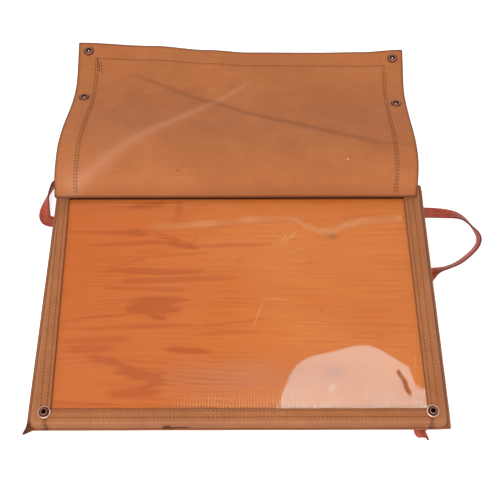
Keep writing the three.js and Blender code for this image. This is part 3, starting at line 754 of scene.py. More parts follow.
stripSizes = {
    "ends": {"near": 18.2, "far": 23},
    "seamInset": 21.5, "cornerStep": 1, "cornerSharpness": 6, "earSpread": 0.2,
    "left": {
        "sign": -1, "near": 25.9, "far": 18.3,
        "nearEar": (1.7, 1.25, 1.05), "farEar": (0.15, 0.1, 0), "tipGrime": 1.6,
    },
    "right": {
        "sign": 1, "near": 24.1, "far": 24.8,
        "nearEar": (0.55, 0.2, 0.375), "farEar": (0.35, 0.15, 0), "tipGrime": 0.3,
    },
    "profile": [               # reach: 0 window, 1 face edge, 2 foot, 3 lip edge; rise as a share
        (0, 1), (0.5, 1), (0.86, 1), (1, 0.94), (1.28, 0.76), (1.7, 0.36), (1.95, 0.1), (2.2, 0), (3, 0),
    ],
    "faceShare": 0.25, "facePoints": 60, "wallPoints": 50,   # points along the profile's two parts
    "endStations": 150, "turnStations": 41, "sideStations": 90, "uneven": 0.6,
    "wear": {                  # how dark or rubbed the strip is at each of these places
        # the band beside the window is a painted shadow line; the fold and wall entries only darken the foot
        # and the wall
        "fold": 0.55, "window": 0.6, "wall": 0.22, "rows": (0.16, 0.14), "seam": 0.5,
        "lipRub": 0.8, "edgeRub": 0.2, "beside": 0.7, "rowWidth": 0.4,
    },
    "sideRows": (4, 10.4), "endRows": (2.2, 8.6),   # stitch rows, from the window edge outward
    "rowStart": 258, "rowStops": (5.5, 20),         # the side rows' two ends, back from the lip
    "groove": 0.22, "grooveWidth": 0.5,
    "cut": {                   # what each strip is cut from, before it is folded and sewn
        "near": (387, 31), "far": (381, 36), "left": (323, 31), "right": (323, 32),
    },
    "tipPlace": 13.5,          # the ear's place along the face's outer edge, from the seam
    "offRows": 7,              # distance given to the turns at the corners, clear of the stitch rows
}


# finer copy of the strip's profile, through its rows, close together over the flat face
def stripProfile(s):
    face = np.linspace(0, s["faceShare"], s["facePoints"], endpoint=False)
    wall = np.linspace(s["faceShare"], 1, s["wallPoints"])
    line = splinePoints(s["profile"], np.concatenate([face, wall]))
    return np.clip(line[:, 0], 0, 3), np.clip(line[:, 1], 0, 1)


# points between the four edge lines (stations, 4, 3) at reaches of 0 to 3, raised by the profile
def stripSurface(edges, reach, rise):
    first = np.minimum(reach.astype(int), 2)
    part = (reach - first)[None, :, None]
    points = edges[:, first] * (1 - part) + edges[:, first + 1] * part
    points[..., 2] += lipMid + (faceMid - lipMid) * rise
    return points


# depth of the grooves that the stitches lie in, a bell for each row on the face
def stripGroove(reach, distance, rows, s):
    return sum(s["groove"] * bell(distance, row, s["grooveWidth"]) for row in rows) * (reach < 1)


# wear and painted shade of a strip: darker in the fold at the foot and over the wall, a painted
# shadow line on the face beside the window, grime along the stitches and at the seams where strips meet;
# rubbed on the face's outer edge and on the lip's edge
def stripValues(reach, distance, seam, rows, s):
    wear = s["wear"]
    grimeAndShade = wear["fold"] * bell(reach, 2.1, 0.16)
    # painted shadow line on the face beside the window
    grimeAndShade = grimeAndShade + wear["window"] * bell(distance, 0, wear["beside"]) * (reach < 1)
    grimeAndShade = grimeAndShade + wear["wall"] * ramp(reach, 1, 1.3)
    for row, dark in zip(rows, wear["rows"]):
        grimeAndShade = grimeAndShade + dark * bell(distance, row, wear["rowWidth"]) * (reach < 1)
    grimeAndShade = grimeAndShade + wear["seam"] * bell(seam, 0, wear["beside"])
    rubAndSheen = wear["lipRub"] * bell(reach, 3, 0.25) + wear["edgeRub"] * bell(reach, 1.02, 0.14)
    return {"grimeAndShade": np.clip(grimeAndShade, 0, 1), "rubAndSheen": np.broadcast_to(np.clip(rubAndSheen, 0, 1), grimeAndShade.shape)}


# slow unevenness of hand-sewn canvas: three crossing waves
def unevenness(x, y):
    waves = ((0.22, 17, 29, 0), (0.16, 7.3, -11, 2), (0.1, 13, 5.1, 0))   # height, lengths, phase
    return sum(height * np.sin(x / across + y / back + phase) for height, across, back, phase in waves)


# the four edge lines' distances from the case's end
def endLines(s, end):
    return np.array([s["ends"][end], faceNear, caseSizes["endLip"], 0.0])


# a canvas sheet about its middle surface in millimetres, less deep above where it is grooved
def canvasSheet(name, middle, groove, values):
    above = (halfCanvas - groove) * mm
    below = np.full(above.shape, halfCanvas * mm)
    points = placed(middle)
    return sheetObject(name, points, above, below, lengthUv(points), values)


# strip along the near or the far end: straight edge lines, run so that its upper side faces up
def makeEndStrip(name, end, s):
    wide = half[end] - s["seamInset"] - gap
    stations = np.linspace(-wide, wide, s["endStations"])
    if end == "near":
        stations = stations[::-1]
    back = endLines(s, end)
    edges = np.zeros((len(stations), 4, 3))
    edges[..., 0] = stations[:, None]
    edges[..., 1] = back if end == "near" else depth - back
    reach, rise = stripProfile(s)
    middle = stripSurface(edges, reach, rise)
    middle[..., 2] += unevenness(middle[..., 0], middle[..., 1]) * ramp(reach, 0.6, 1.6) * s["uneven"]
    distance = np.broadcast_to(reach * (s["ends"][end] - faceNear), middle.shape[:2])
    values = stripValues(reach, distance, wide - np.abs(middle[..., 0]), s["endRows"], s)
    return canvasSheet(name, middle, stripGroove(reach, distance, s["endRows"], s), values)


# edge lines of a side strip round both corners: rounded squares |x|^n + |y|^n = 1 about the end
# strip's corner, with the lip's ear pulled out of the middle of the turn
def sideEdges(side, s, shares, straight):
    own = s[side]

    def outward(end):
        foot = half[end] - caseSizes["lip"]
        return np.array([
            half[end] - s["seamInset"] + s["cornerStep"], foot - caseSizes["wallSlope"], foot, half[end],
        ])

    def turning(end):
        back = s["ends"][end] + gap
        inward = endLines(s, end)
        inward[0] = back - s["cornerStep"]
        angle = shares * math.pi / 2
        across = np.maximum(np.cos(angle), 0)[:, None] ** (2 / s["cornerSharpness"])
        down = 1 - np.sin(angle)[:, None] ** (2 / s["cornerSharpness"])
        pull = caseSizes["lip"] * bell(shares, 0.5, s["earSpread"])[:, None] * np.array([0, 0, 0, 1.0])
        earX, earY, drop = own[end + "Ear"]
        seam = half[end] - s["seamInset"]
        x = seam + (outward(end) - seam) * across + pull * earX
        y = inward + (back - inward) * down - pull * earY
        y = y if end == "near" else depth - y
        return np.stack([own["sign"] * x, y, -pull * drop], -1)

    def level(end):
        x = outward(end)
        x[0] = half[end] - own[end]
        y = s["ends"][end] + gap + s["cornerStep"]
        y = y if end == "near" else depth - y
        return np.stack([own["sign"] * x, np.full(4, y), np.zeros(4)], -1)

    near, far = level("near"), level("far")
    along = straight[:, None, None]
    side = far[None] * (1 - along) + near[None] * along
    return np.concatenate([turning("far")[::-1], side, turning("near")])


# strip along a side and round both its corners, darkened at the ear's tip
def makeSideStrip(name, side, s):
    own = s[side]
    shares = np.linspace(0, 1, s["turnStations"])
    straight = np.linspace(0, 1, s["sideStations"])
    edges = sideEdges(side, s, shares, straight)
    reach, rise = stripProfile(s)
    middle = stripSurface(edges, reach, rise)
    middle[..., 2] += unevenness(middle[..., 1], middle[..., 0]) * ramp(reach, 0.6, 1.6) * s["uneven"]
    flat = np.zeros((len(edges), 1))
    flat[len(shares):len(shares) + len(straight)] = 1
    distance = np.linalg.norm(edges[:, 1] - edges[:, 0], axis=1)[:, None] * reach
    groove = stripGroove(reach, distance, s["sideRows"], s) * flat
    if own["sign"] < 0:
        middle, distance, groove = middle[:, ::-1], distance[:, ::-1], groove[:, ::-1]
        reach = reach[::-1]
    run = runLength(edges[:, 1])
    seam = np.minimum(run, run[-1] - run)[:, None]
    values = stripValues(reach, np.where(flat > 0, distance, s["offRows"]), seam, s["sideRows"], s)
    tip = own["tipGrime"] * bell(run[-1] - run, s["tipPlace"], 3.5)[:, None] * bell(reach, 3, 0.8)
    values["grimeAndShade"] = np.clip(values["grimeAndShade"] + tip, 0, 1)
    return canvasSheet(name, middle, groove, values)


for name, place in (("strip_near", "near"), ("strip_far", "far"),
                    ("strip_left", "left"), ("strip_right", "right")):
    makeStrip = makeEndStrip if place in ("near", "far") else makeSideStrip
    strip = makeStrip(name, place, stripSizes)
    node = {"near": "border_bottom", "far": "border_top"}.get(place, "border_" + place)
    dress(strip, outerCanvas, node)
print("strips made")

backSizes = {
    "inset": 1, "corner": 20, "columns": 120, "rows": 90, "sag": 0.125,
    "edgeGrime": 0.3, "rubAndSheen": 0.15,
}


# back panel: a rounded rectangle by squeezing each row's ends in at the corners, slightly uneven
def makeBack(s):
    share = np.linspace(-1, 1, s["columns"])
    turn = np.linspace(0, math.pi, s["rows"])
    back = s["inset"] + (depth - 2 * s["inset"]) * (0.5 - 0.5 * np.cos(turn))
    fromEnd = np.minimum(back - s["inset"], depth - s["inset"] - back)
    squeezed = np.clip(s["corner"] - fromEnd, 0, s["corner"])
    narrow = s["corner"] - np.sqrt(np.maximum(s["corner"] ** 2 - squeezed ** 2, 0))
    wide = half["near"] - s["inset"] - caseSizes["farNarrowing"] * back / depth - narrow
    x, y = np.broadcast_arrays(share * wide[:, None], back[:, None])
    level = backTop - halfCanvas + s["sag"] * unevenness(x, y)
    middle = np.stack([x, y, level], -1)
    thick = np.full(x.shape, halfCanvas * mm)
    grimeAndShade = np.broadcast_to(s["edgeGrime"] * bell(1 - np.abs(share), 0, 0.03), x.shape)
    values = {"grimeAndShade": grimeAndShade, "rubAndSheen": np.full(x.shape, s["rubAndSheen"])}
    return sheetObject("back_cloth", placed(middle), thick, thick, middle[..., :2] * mm, values)


backCloth = makeBack(backSizes)
dress(backCloth, outerCanvas, "back_panel")
print("back made")

flapSizes = {
    "width": 411, "reach": 221, "crest": 41.2, "hingeInset": 22.6, "allowance": 17, "foldRadius": 3.6,
    "hem": 22, "sideHem": 25.4, "hemExtra": 0.9, "hemStep": 0.8, "hemAbove": 0.65,
    "sideRows": (22, 24.4), "endRow": 21.2,   # stitch rows, from the flap's edges
    "groove": 0.2, "grooveWidth": 0.45, "rim": 0.6, "foldSteps": 14,
    "closeReach": 4, "closeColumns": 26, "closeRows": 18,   # finer parts of the grid beside the hems
    "hemFrom": 5, "rowsFrom": 1.5,            # where hems and rows begin, before the fold's end
    "fall": [                  # run: share of reach, height: share of crest
        (0.03, 0.81), (0.08, 0.93), (0.165, 1), (0.25, 0.96), (0.35, 0.79), (0.47, 0.51),
        (0.6, 0.223), (0.7, 0.08), (0.8, 0.042), (1, 0.036),
    ],
    "spread": [(0, 0.995, -0.0095), (0.2, 1, -0.006), (0.7, 0.993, 0), (1, 1, 0.001)],
    "end": [                   # across, further, curl
        (-1, 0.047, 0.19), (-0.55, 0.04, 0.07), (-0.2, 0.016, 0.02), (0.05, 0, 0),
        (0.5, -0.003, 0), (0.75, -0.009, 0.06), (1, -0.012, 0.19),
    ],
    "curlStart": 0.76, "curlEase": 1.6,
    "loose": [                 # waves of the cloth: height, turns across and along, phase
        (0.5, 7.1, 5, 0), (0.35, 13, -9, 1), (0.2, 4, 23, 2),
    ],
    "creases": [               # from and to as (across, length), height, spread
        ((-0.9, 0.05), (0.1, 0.79), 0.045, 0.055),
        ((-0.66, 0.83), (0.9, 0.31), -0.035, 0.055),
    ],
    "sharp": [                 # the same, with a height and a spread at either end
        ((-0.96, -0.01), (0.12, 0.85), (0.010, 0.010), (0.045, 0.013)),
        ((-0.68, 0.828), (0.92, 0.243), (-0.019, -0.013), (0.014, 0.020)),
        ((0.80, 0.285), (1.0, 0.270), (0.012, 0.012), (0.008, 0.008)),
    ],
    "tacks": [                 # short rows at the hems' corners, from and to as (across, along)
        ((-0.887, 0.927), (-0.880, 0.865)), ((-0.875, 0.905), (-0.868, 0.845)),
        ((-0.862, 0.900), (-0.850, 0.835)), ((0.863, 0.972), (0.875, 0.932)),
    ],
    "columns": 190, "rows": 150,
    "wear": {                  # how dark or rubbed the cloth is at each of these places
        # on the flap the hem lines, the dark creases, the fold's underside and the curve beyond the fold are
        # painted shade, and the edges partly; the pale crease is partly and the left corner wholly a painted
        # highlight
        "sideHem": 0.32, "endHem": 0.26, "crease": 0.28, "shortCreaseShade": 0.15, "edge": 0.8, "undersideShade": 0.6,
        "fold": 0.16, "creaseRubAndSheen": 0.42, "leftSheen": 0.25,
    },
}


# the flap's course from its sewn edge: level on the strip, half round the fold, then over its long fall
def flapLine(s):
    hinge = depth - s["hingeInset"]
    sewn = faceTop + gap + halfCanvas
    fold = sewn + s["foldRadius"]
    turn = np.linspace(0, math.pi, 7)
    points = [(hinge + s["allowance"], sewn), (hinge + s["allowance"] / 2, sewn)]
    points += list(zip(hinge - s["foldRadius"] * np.sin(turn), fold - s["foldRadius"] * np.cos(turn)))
    points += [(hinge + run * s["reach"], height * s["crest"]) for run, height in s["fall"]]
    line = splinePoints(points, np.linspace(0, 1, 6000))
    return line, runLength(line)


flapCurve, flapRun = flapLine(flapSizes)
flapLength = flapRun[-1]
foldLength = flapSizes["allowance"] + math.pi * flapSizes["foldRadius"] / 2


# how far along from the fold to the end, 0 on the sewn part
def beyondFold(along):
    return np.maximum(0, (along * flapLength - foldLength) / (flapLength - foldLength))


# share of the way along a straight line, and the distance from it
def lineCourse(across, length, start, stop):
    dx, dy = stop[0] - start[0], stop[1] - start[1]
    size = dx * dx + dy * dy
    along = ((across - start[0]) * dx + (length - start[1]) * dy) / size
    return along, ((across - start[0]) * dy - (length - start[1]) * dx) / math.sqrt(size)


# broad ridge or valley: height times a bell of the distance, faded at both ends as a power of a sine
def creaseLift(across, length, crease):
    start, stop, height, spread = crease
    along, off = lineCourse(across, length, start, stop)
    return height * np.sin(math.pi * np.clip(along, 0, 1)) ** 0.7 * bell(off, 0, spread)


# sharp crease, as a height and as a share of it: a bell whose height and spread change evenly from one
# end to the other, and which eases to nothing at both
def sharpLift(across, length, crease):
    start, stop, heights, spreads = crease
    along, off = lineCourse(across, length, start, stop)
    part = np.clip(along, 0, 1)
    share = ramp(along, 0, 0.08) * (1 - ramp(along, 0.86, 1))
    share = share * bell(off, 0, spreads[0] + (spreads[1] - spreads[0]) * part)
    return (heights[0] + (heights[1] - heights[0]) * part) * share, share


# point of the flap's middle surface: across from -1 to 1, along from 0 at the sewn edge to 1
def flapPoint(across, along, s, fine=True):
    run = np.clip(along, 0, 1) * flapLength
    y = np.interp(run, flapRun, flapCurve[:, 0])
    z = np.interp(run, flapRun, flapCurve[:, 1])
    length = beyondFold(along)
    spread, end = np.asarray(s["spread"], float), np.asarray(s["end"], float)
    wide = s["width"] / 2 * eased(spread[:, 0], spread[:, 1], length)
    aside = s["width"] * eased(spread[:, 0], spread[:, 2], length)
    endShift = s["reach"] * eased(end[:, 0], end[:, 1], across)
    curl = s["crest"] * eased(end[:, 0], end[:, 2], across)
    lift = np.maximum(0, (length - s["curlStart"]) / (1 - s["curlStart"]))
    y = y + endShift * np.sin(math.pi / 2 * length)
    z = z + curl * lift ** s["curlEase"]
    for crease in s["creases"]:
        z = z + s["crest"] * creaseLift(across, length, crease)
    if fine:
        for crease in s["sharp"]:
            z = z + s["crest"] * sharpLift(across, length, crease)[0]
        loose = np.sin(math.pi * np.clip(length * 1.15, 0, 1))
        z = z + loose * sum(height * np.sin(across * turns + length * further + phase)
                            for height, turns, further, phase in s["loose"])
    return np.stack(np.broadcast_arrays(aside + across * wide, y, z), -1)


# flap: a grid, closer at the hems and round the fold, thicker over the hems and grooved along the rows;
# painted shade along the hem steps, in the dark creases, below the fold and just beyond it; edges darker,
# partly worn and partly painted shade; the pale crease partly rubbed and partly a painted highlight, and
# a painted sheen at the left corner of the fold
def makeFlap(s):
    sideShare = s["sideHem"] / (s["width"] / 2)
    foldEnd = s["allowance"] + math.pi * s["foldRadius"]
    closeShare = s["closeReach"] / (s["width"] / 2)
    columns = denser(-1, 1, s["columns"], [sideShare - 1, 1 - sideShare], closeShare, s["closeColumns"])
    rows = denser(0, 1, s["rows"], [1 - s["hem"] / flapLength], s["closeReach"] / flapLength, s["closeRows"])
    folded = np.linspace(s["allowance"], foldEnd, s["foldSteps"]) / flapLength
    across, along = np.meshgrid(columns, np.unique(np.concatenate([rows, folded])))
    run = along * flapLength
    middle = flapPoint(across, along, s)
    fromSide = (1 - np.abs(across)) * s["width"] / 2
    fromEnd = flapLength - run
    beyond = ramp(run, foldEnd - s["hemFrom"], foldEnd - s["rowsFrom"])
    hem = np.maximum(1 - ramp(fromSide, s["sideHem"], s["sideHem"] + s["hemStep"]),
                     1 - ramp(fromEnd, s["hem"], s["hem"] + s["hemStep"])) * beyond
    groove = sum(s["groove"] * bell(fromSide, row, s["grooveWidth"]) for row in s["sideRows"])
    groove = groove * (fromEnd > s["endRow"])
    endGroove = s["groove"] * bell(fromEnd, s["endRow"], s["grooveWidth"])
    groove = (groove + endGroove * (fromSide > s["sideRows"][0])) * beyond
    above = (halfCanvas + s["hemExtra"] * s["hemAbove"] * hem - groove) * mm
    below = (halfCanvas + s["hemExtra"] * (1 - s["hemAbove"]) * hem) * mm
    length = beyondFold(along)
    pale, dark, short = [sharpLift(across, length, crease)[1] for crease in s["sharp"]]
    edge = np.minimum(fromSide, fromEnd)
    # painted shade under the fold and on the curve just beyond it
    undersideShade = 1 - ramp(run, foldLength, foldLength + 3.5)
    wear = s["wear"]
    # painted shade: lines along the hem steps and in the dark creases; the edges partly worn and partly
    # painted shade
    grimeAndShade = wear["sideHem"] * bell(fromSide, s["sideHem"] + 0.4, 0.4) * (fromEnd > s["hem"])
    grimeAndShade = grimeAndShade + wear["endHem"] * bell(fromEnd, s["hem"] + 0.4, 0.4) * (fromSide > s["sideHem"])
    grimeAndShade = grimeAndShade * beyond + wear["crease"] * dark + wear["shortCreaseShade"] * short
    grimeAndShade = grimeAndShade + wear["edge"] * (1 - ramp(edge, 0.4, 2.8))
    grimeAndShade = grimeAndShade + wear["undersideShade"] * undersideShade * (run > s["allowance"] - 2)
    grimeAndShade = grimeAndShade + wear["fold"] * (1 - ramp(length, 0.0, 0.08))
    # the pale crease partly rubbed and partly a painted highlight; a painted sheen at the left corner of the
    # fold
    rubAndSheen = wear["creaseRubAndSheen"] * pale + wear["leftSheen"] * bell(across, -0.91, 0.06) * bell(length, 0.07, 0.1)
    uv = np.stack([across * s["width"] / 2, run], -1) * mm
    values = {"grimeAndShade": np.clip(grimeAndShade, 0, 1), "rubAndSheen": np.clip(rubAndSheen, 0, 1)}
    return sheetObject("flap_cloth", placed(middle), above, below, uv, values, s["rim"] * mm)


flap = makeFlap(flapSizes)
dress(flap, innerCanvas, "flap")
print("flap made")

strapSizes = {
    "width": 13, "thick": 2.4, "loop": 57, "wornFrom": 0.975,
    "stations": 620, "closeFrom": 35, "closeStations": 90,   # more of them from this row of the route on
    "sectionPoints": 44, "roundness": 0.35, "pressed": 0.14, "pressedAt": 0.78, "pressedWidth": 0.05,
    "turnWindow": 9,
    "cutEdge": 0.75, "wornEnd": 0.6, "ends": 0.7,   # shares of dark along the edges and at the ends
    "route": [                 # side, out, front, off, air, roll, width
        (-1, -0.281, 1.001, 1, 0.13, 90, 1), (-1, -0.105, 1.0021, 1, 0.13, 90, 1),
        (-1, 0.018, 1.0014, 1, 0.13, 90, 1), (-1, 0.084, 0.9941, 0.6, 0.12, 86, 1),
        (-1, 0.125, 0.976, 0.2, 0.1, 80, 1), (-1, 0.162, 0.953, 0, 0.07, 70, 1),
        (-1, 0.193, 0.9286, 0, 0.03, 54, 1), (-1, 0.205, 0.9042, 0, 0.01, 34, 1),
        (-1, 0.213, 0.8815, 0, 0, 10, 1), (-1, 0.207, 0.8662, 0, 0, 1, 1),
        (-1, 0.164, 0.8502, 0, 0, 0, 1), (-1, 0.069, 0.8425, 0, 0, 0, 1),
        (-1, -0.114, 0.8429, 0, 0, 0, 1), (-1, -2.499, 0.8537, 0, 0, 0, 1),
        (1, -2.498, 0.8655, 0, 0, 0, 1), (1, -0.164, 0.8777, 0, 0, 0, 1),
        (1, 0.029, 0.878, 0, 0, 0, 1), (1, 0.204, 0.8753, 0, 0.04, -2, 1),
        (1, 0.397, 0.8683, 0, 0.15, -8, 1), (1, 0.589, 0.8571, 0, 0.22, -24, 1),
        (1, 0.737, 0.8397, 0, 0.21, -44, 1), (1, 0.836, 0.8164, 0, 0.21, -58, 1),
        (1, 0.915, 0.7909, 0, 0.2, -68, 1), (1, 0.984, 0.7659, 0, 0.17, -84, 1),
        (1, 0.997, 0.7401, 0, 0.11, -100, 1), (1, 0.925, 0.7118, 0, 0.05, -112, 1),
        (1, 0.727, 0.6735, 0, 0.03, -118, 1), (1, 0.527, 0.6450, 0, 0.02, -120, 1),
        (1, 0.313, 0.6270, 0, 0.01, -121, 1), (1, 0.155, 0.6180, 0, 0.02, -130, 1),
        (1, 0.014, 0.6060, 0, 0, -164, 1), (1, -0.142, 0.5693, 0, 0, -180, 1),
        (1, -0.253, 0.5261, 0, 0, -180, 1), (1, -0.317, 0.453, 0, 0, -180, 1),
        (1, -0.43, 0.2265, 0, 0, -180, 1), (1, -0.524, 0.0348, 0, 0, -180, 1),
        (1, -0.537, 0, 0, 0, -180, 1), (1, -0.529, -0.0084, 0, 0, -180, 0.94),
        (1, -0.478, -0.0153, 0, 0, -180, 0.5), (1, -0.431, -0.0244, 0, 0, -180, 0.2),
        (1, -0.409, -0.0348, 0, 0, -180, 0.1),
    ],
}


# Strap: a flat band with round edges carried along its route. Its width lies level and square to the
# route, turned by the roll about the route; the lower edge stays at or above the floor. Its section is
# |a/w|^n + |b/h|^n = 1 with n = 2 / roundness, and a shallow pressed line near each edge.
def makeStrap(s):
    side, out, front, off, air, roll, width = np.asarray(s["route"], float).T
    lip = half["near"] + (half["far"] - half["near"]) * front

    def rise(turn):
        turn = np.radians(turn)
        return (s["width"] * np.abs(np.sin(turn)) + s["thick"] * np.abs(np.cos(turn))) / 2

    route = np.stack([
        side * (lip + out * s["loop"]),
        front * depth + off * (gap + s["thick"] / 2),
        rise(roll) + air * s["width"],
    ], -1)
    count = len(route) - 1
    t = np.linspace(0, 1, s["stations"])
    t = np.unique(np.concatenate([t, np.linspace(s["closeFrom"] / count, 1, s["closeStations"])]))
    centre = splinePoints(route, t)
    forward = unit(np.gradient(centre, axis=0))
    rows = np.arange(count + 1) / count
    turn = np.pad(np.interp(t, rows, roll), s["turnWindow"] // 2, mode="edge")
    turn = np.convolve(turn, np.ones(s["turnWindow"]) / s["turnWindow"], mode="valid")
    wide = np.interp(t, rows, width) * s["width"] / 2
    level = unit(np.stack([-forward[:, 1], forward[:, 0], np.zeros(len(t))], -1))
    angle = np.radians(turn)[:, None]
    level = level * np.cos(angle) + np.cross(forward, level) * np.sin(angle)
    normal = unit(np.cross(forward, level))
    centre[:, 2] = np.maximum(centre[:, 2], rise(turn))
    ring = np.linspace(0, 2 * math.pi, s["sectionPoints"], endpoint=False)
    a, b = [np.sign(wave) * np.abs(wave) ** s["roundness"] for wave in (np.cos(ring), np.sin(ring))]
    pressed = 1 - s["pressed"] * bell(np.abs(a), s["pressedAt"], s["pressedWidth"])
    points = (
        centre[:, None]
        + level[:, None] * (a[None, :, None] * wide[:, None, None])
        + normal[:, None] * (b * pressed)[None, :, None] * (s["thick"] / 2)
    )
    allPoints = placed(np.vstack([points.reshape(-1, 3), centre[[0, -1]]]))
    run = runLength(placed(centre))
    uv = np.stack(np.broadcast_arrays(a[None] * wide[:, None] * mm, run[:, None]), -1).reshape(-1, 2)
    uv = np.vstack([uv, [[0, 0], [0, run[-1]]]])
    edge = s["cutEdge"] * bell(np.abs(a), 1, 0.05)[None] + s["wornEnd"] * ramp(t, s["wornFrom"], 1)[:, None]
    edge = np.append(np.clip(edge, 0, 1), [s["ends"], s["ends"]])
    return meshObject("strap_band", allPoints, tubeFaces(len(t), len(ring)), uv, {"grimeAndShade": edge})


dress(makeStrap(strapSizes), strapLeather, "strap")
print("strap made")

snapSizes = {
    "fromSide": 20, "fromFront": 15, "fromEdge": 12.5, "fromEnd": 11.5, "spacing": 73,
    "segments": 48,
    "stud": {                  # profiles of (radius, height), and wear by radius and height
        "profile": [
            (0, 0), (6.11, 0), (6.5, 0.495), (5.98, 1.1), (5.2, 1.1), (4.95, 0.6), (3.4, 0.6),
            (3.604, 2.325), (2.89, 3.1), (2.21, 2.852), (1.87, 0.9), (0, 0.9),
        ],
        "grimeAndShade": lambda radius, height: (
            0.7 * bell(radius, 5.15, 0.25) + 0.6 * bell(radius, 3.85, 0.25) + (radius < 2.108)
        ) * (height > 0.2),
        "rubAndSheen": lambda radius, height: (
            1.2 * bell(radius, 5.98, 0.6) + 0.5 * bell(radius, 3.23, 0.3) * (height > 2)
        ),
    },
    "socket": {
        "profile": [
            (0, 0), (6.048, 0), (6.3, 0.46), (5.418, 1.725), (4.536, 2.3), (3.78, 2.3), (3.23, 1.84),
            (3.23, 0.6), (1.36, 0.6), (1.02, 1.08), (0, 1.14),
        ],
        "grimeAndShade": lambda radius, height: 0.75 * bell(radius, 2.55, 0.9) + 0.35 * (height < 0.5),
        "rubAndSheen": lambda radius, height: 0.5 * bell(radius, 4.158, 0.5) + 1.0 * (radius < 1.19),
    },
    "cap": {
        "profile": [(0, 0), (6.984, 0), (7.2, 0.39), (6.48, 0.91), (3.6, 1.235), (0, 1.3)],
        "grimeAndShade": lambda radius, height: 0.4 * (height < 0.4),
        "rubAndSheen": lambda radius, height: 0.5 * bell(height, 1.3, 0.4),
    },
}


# one snap half, turned from its profile, set on a place with its axis along a direction
def makeSnap(kind, where, place, axis, s):
    points, faces, radii = turnedParts(s[kind]["profile"], s["segments"])
    values = {key: np.clip(s[kind][key](radii, points[:, 2]), 0, 1) for key in ("grimeAndShade", "rubAndSheen")}
    turn = np.array(Vector((0, 0, 1)).rotation_difference(Vector(axis)).to_matrix())
    points = placed(points @ turn.T + np.asarray(place))
    made = meshObject(f"snap_{kind}_{where}", points, faces, None, values)
    dress(made, agedBrass, f"{kind}_{where}")


# place and direction of a flap snap on the flap's inner (1) or outer (-1) face
def seatOnFlap(across, along, face):
    step = 0.004
    there = [flapPoint(np.array(across + a), np.array(along + b), flapSizes, False)
             for a, b in ((0, 0), (step, 0), (-step, 0), (0, step), (0, -step))]
    normal = unit(np.cross(there[1] - there[2], there[3] - there[4])) * face
    return there[0] + normal * ((caseSizes["canvas"] + flapSizes["hemExtra"]) / 2 + gap), normal


# studs at the case's near corners, and two sockets with their caps in each of the flap's side hems
def makeSnaps(s):
    across = 1 - s["fromEdge"] / (flapSizes["width"] / 2)
    sides = (("left", -1), ("right", 1))
    for side, sign in sides:
        place = (sign * (half["near"] - s["fromSide"]), s["fromFront"], faceTop + gap)
        makeSnap("stud", side, place, (0, 0, 1), s)
    for side, sign in sides:
        for end, fromEnd in (("end", s["fromEnd"]), ("mid", s["fromEnd"] + s["spacing"])):
            for kind, face in (("socket", 1), ("cap", -1)):
                place, axis = seatOnFlap(sign * across, 1 - fromEnd / flapLength, face)
                makeSnap(kind, f"{side}_{end}", place, axis, s)


makeSnaps(snapSizes)
print("snaps made")

stitchSizes = {
    "pitch": 3.9, "length": 2.7, "radius": 0.42, "sink": 0.05, "sides": 6,
    "rings": (-0.97, -0.6, 0.0, 0.6, 0.97), "arch": 0.12, "tipSink": 0.2, "look": 0.4,
}


# One thread capsule for each stitch: rings along its length, its radius falling off at the ends as the
# square root of 1 - t^2, its middle arched up and its ends sunk in the cloth. Capsules are set along
# the lines at equal running lengths, and a line is (points, normals) in metres.
def makeStitches(name, lines, s=stitchSizes):
    t = np.array(s["rings"])
    turn = np.linspace(0, 2 * math.pi, s["sides"], endpoint=False)
    size = np.sqrt(1 - t ** 2)[:, None] * s["radius"] * mm
    lift = (s["arch"] * (1 - t ** 2) - s["sink"])[:, None] * mm
    way = np.repeat((t * s["length"] / 2 * mm)[:, None], s["sides"], 1)
    shape = np.stack([way, size * np.cos(turn), size * np.sin(turn) + lift], -1).reshape(-1, 3)
    tips = np.array([[-s["length"] / 2, 0, -s["tipSink"]], [s["length"] / 2, 0, -s["tipSink"]]]) * mm
    shape = np.vstack([shape, tips])
    allPoints, faces, base = [], [], 0
    for points, normals in lines:
        run = runLength(points)

        def between(values, at):
            return np.stack([np.interp(at, run, values[:, k]) for k in range(3)], -1)

        count = max(1, int(run[-1] / (s["pitch"] * mm)))
        at = (np.arange(count) + 0.5) * run[-1] / count
        forward = unit(between(points, at + s["look"] * mm) - between(points, at - s["look"] * mm))
        aside = unit(np.cross(unit(between(normals, at)), forward))
        axes = np.stack([forward, aside, np.cross(forward, aside)], 1)
        made = np.einsum("kj,nji->nki", shape, axes) + between(points, at)[:, None]
        allPoints.append(made.reshape(-1, 3))
        steps = (np.arange(count) * len(shape) + base)[:, None, None]
        for part in tubeFaces(len(t), s["sides"]):
            faces.append((part[None] + steps).reshape(-1, part.shape[1]))
        base += count * len(shape)
    dress(meshObject(name, np.concatenate(allPoints), faces), stitchThread)


# a line for makeStitches whose normals all point up
def flatLine(points):
    points = placed(points)
    return points, np.broadcast_to(np.array([0, 0, 1.0]), points.shape)


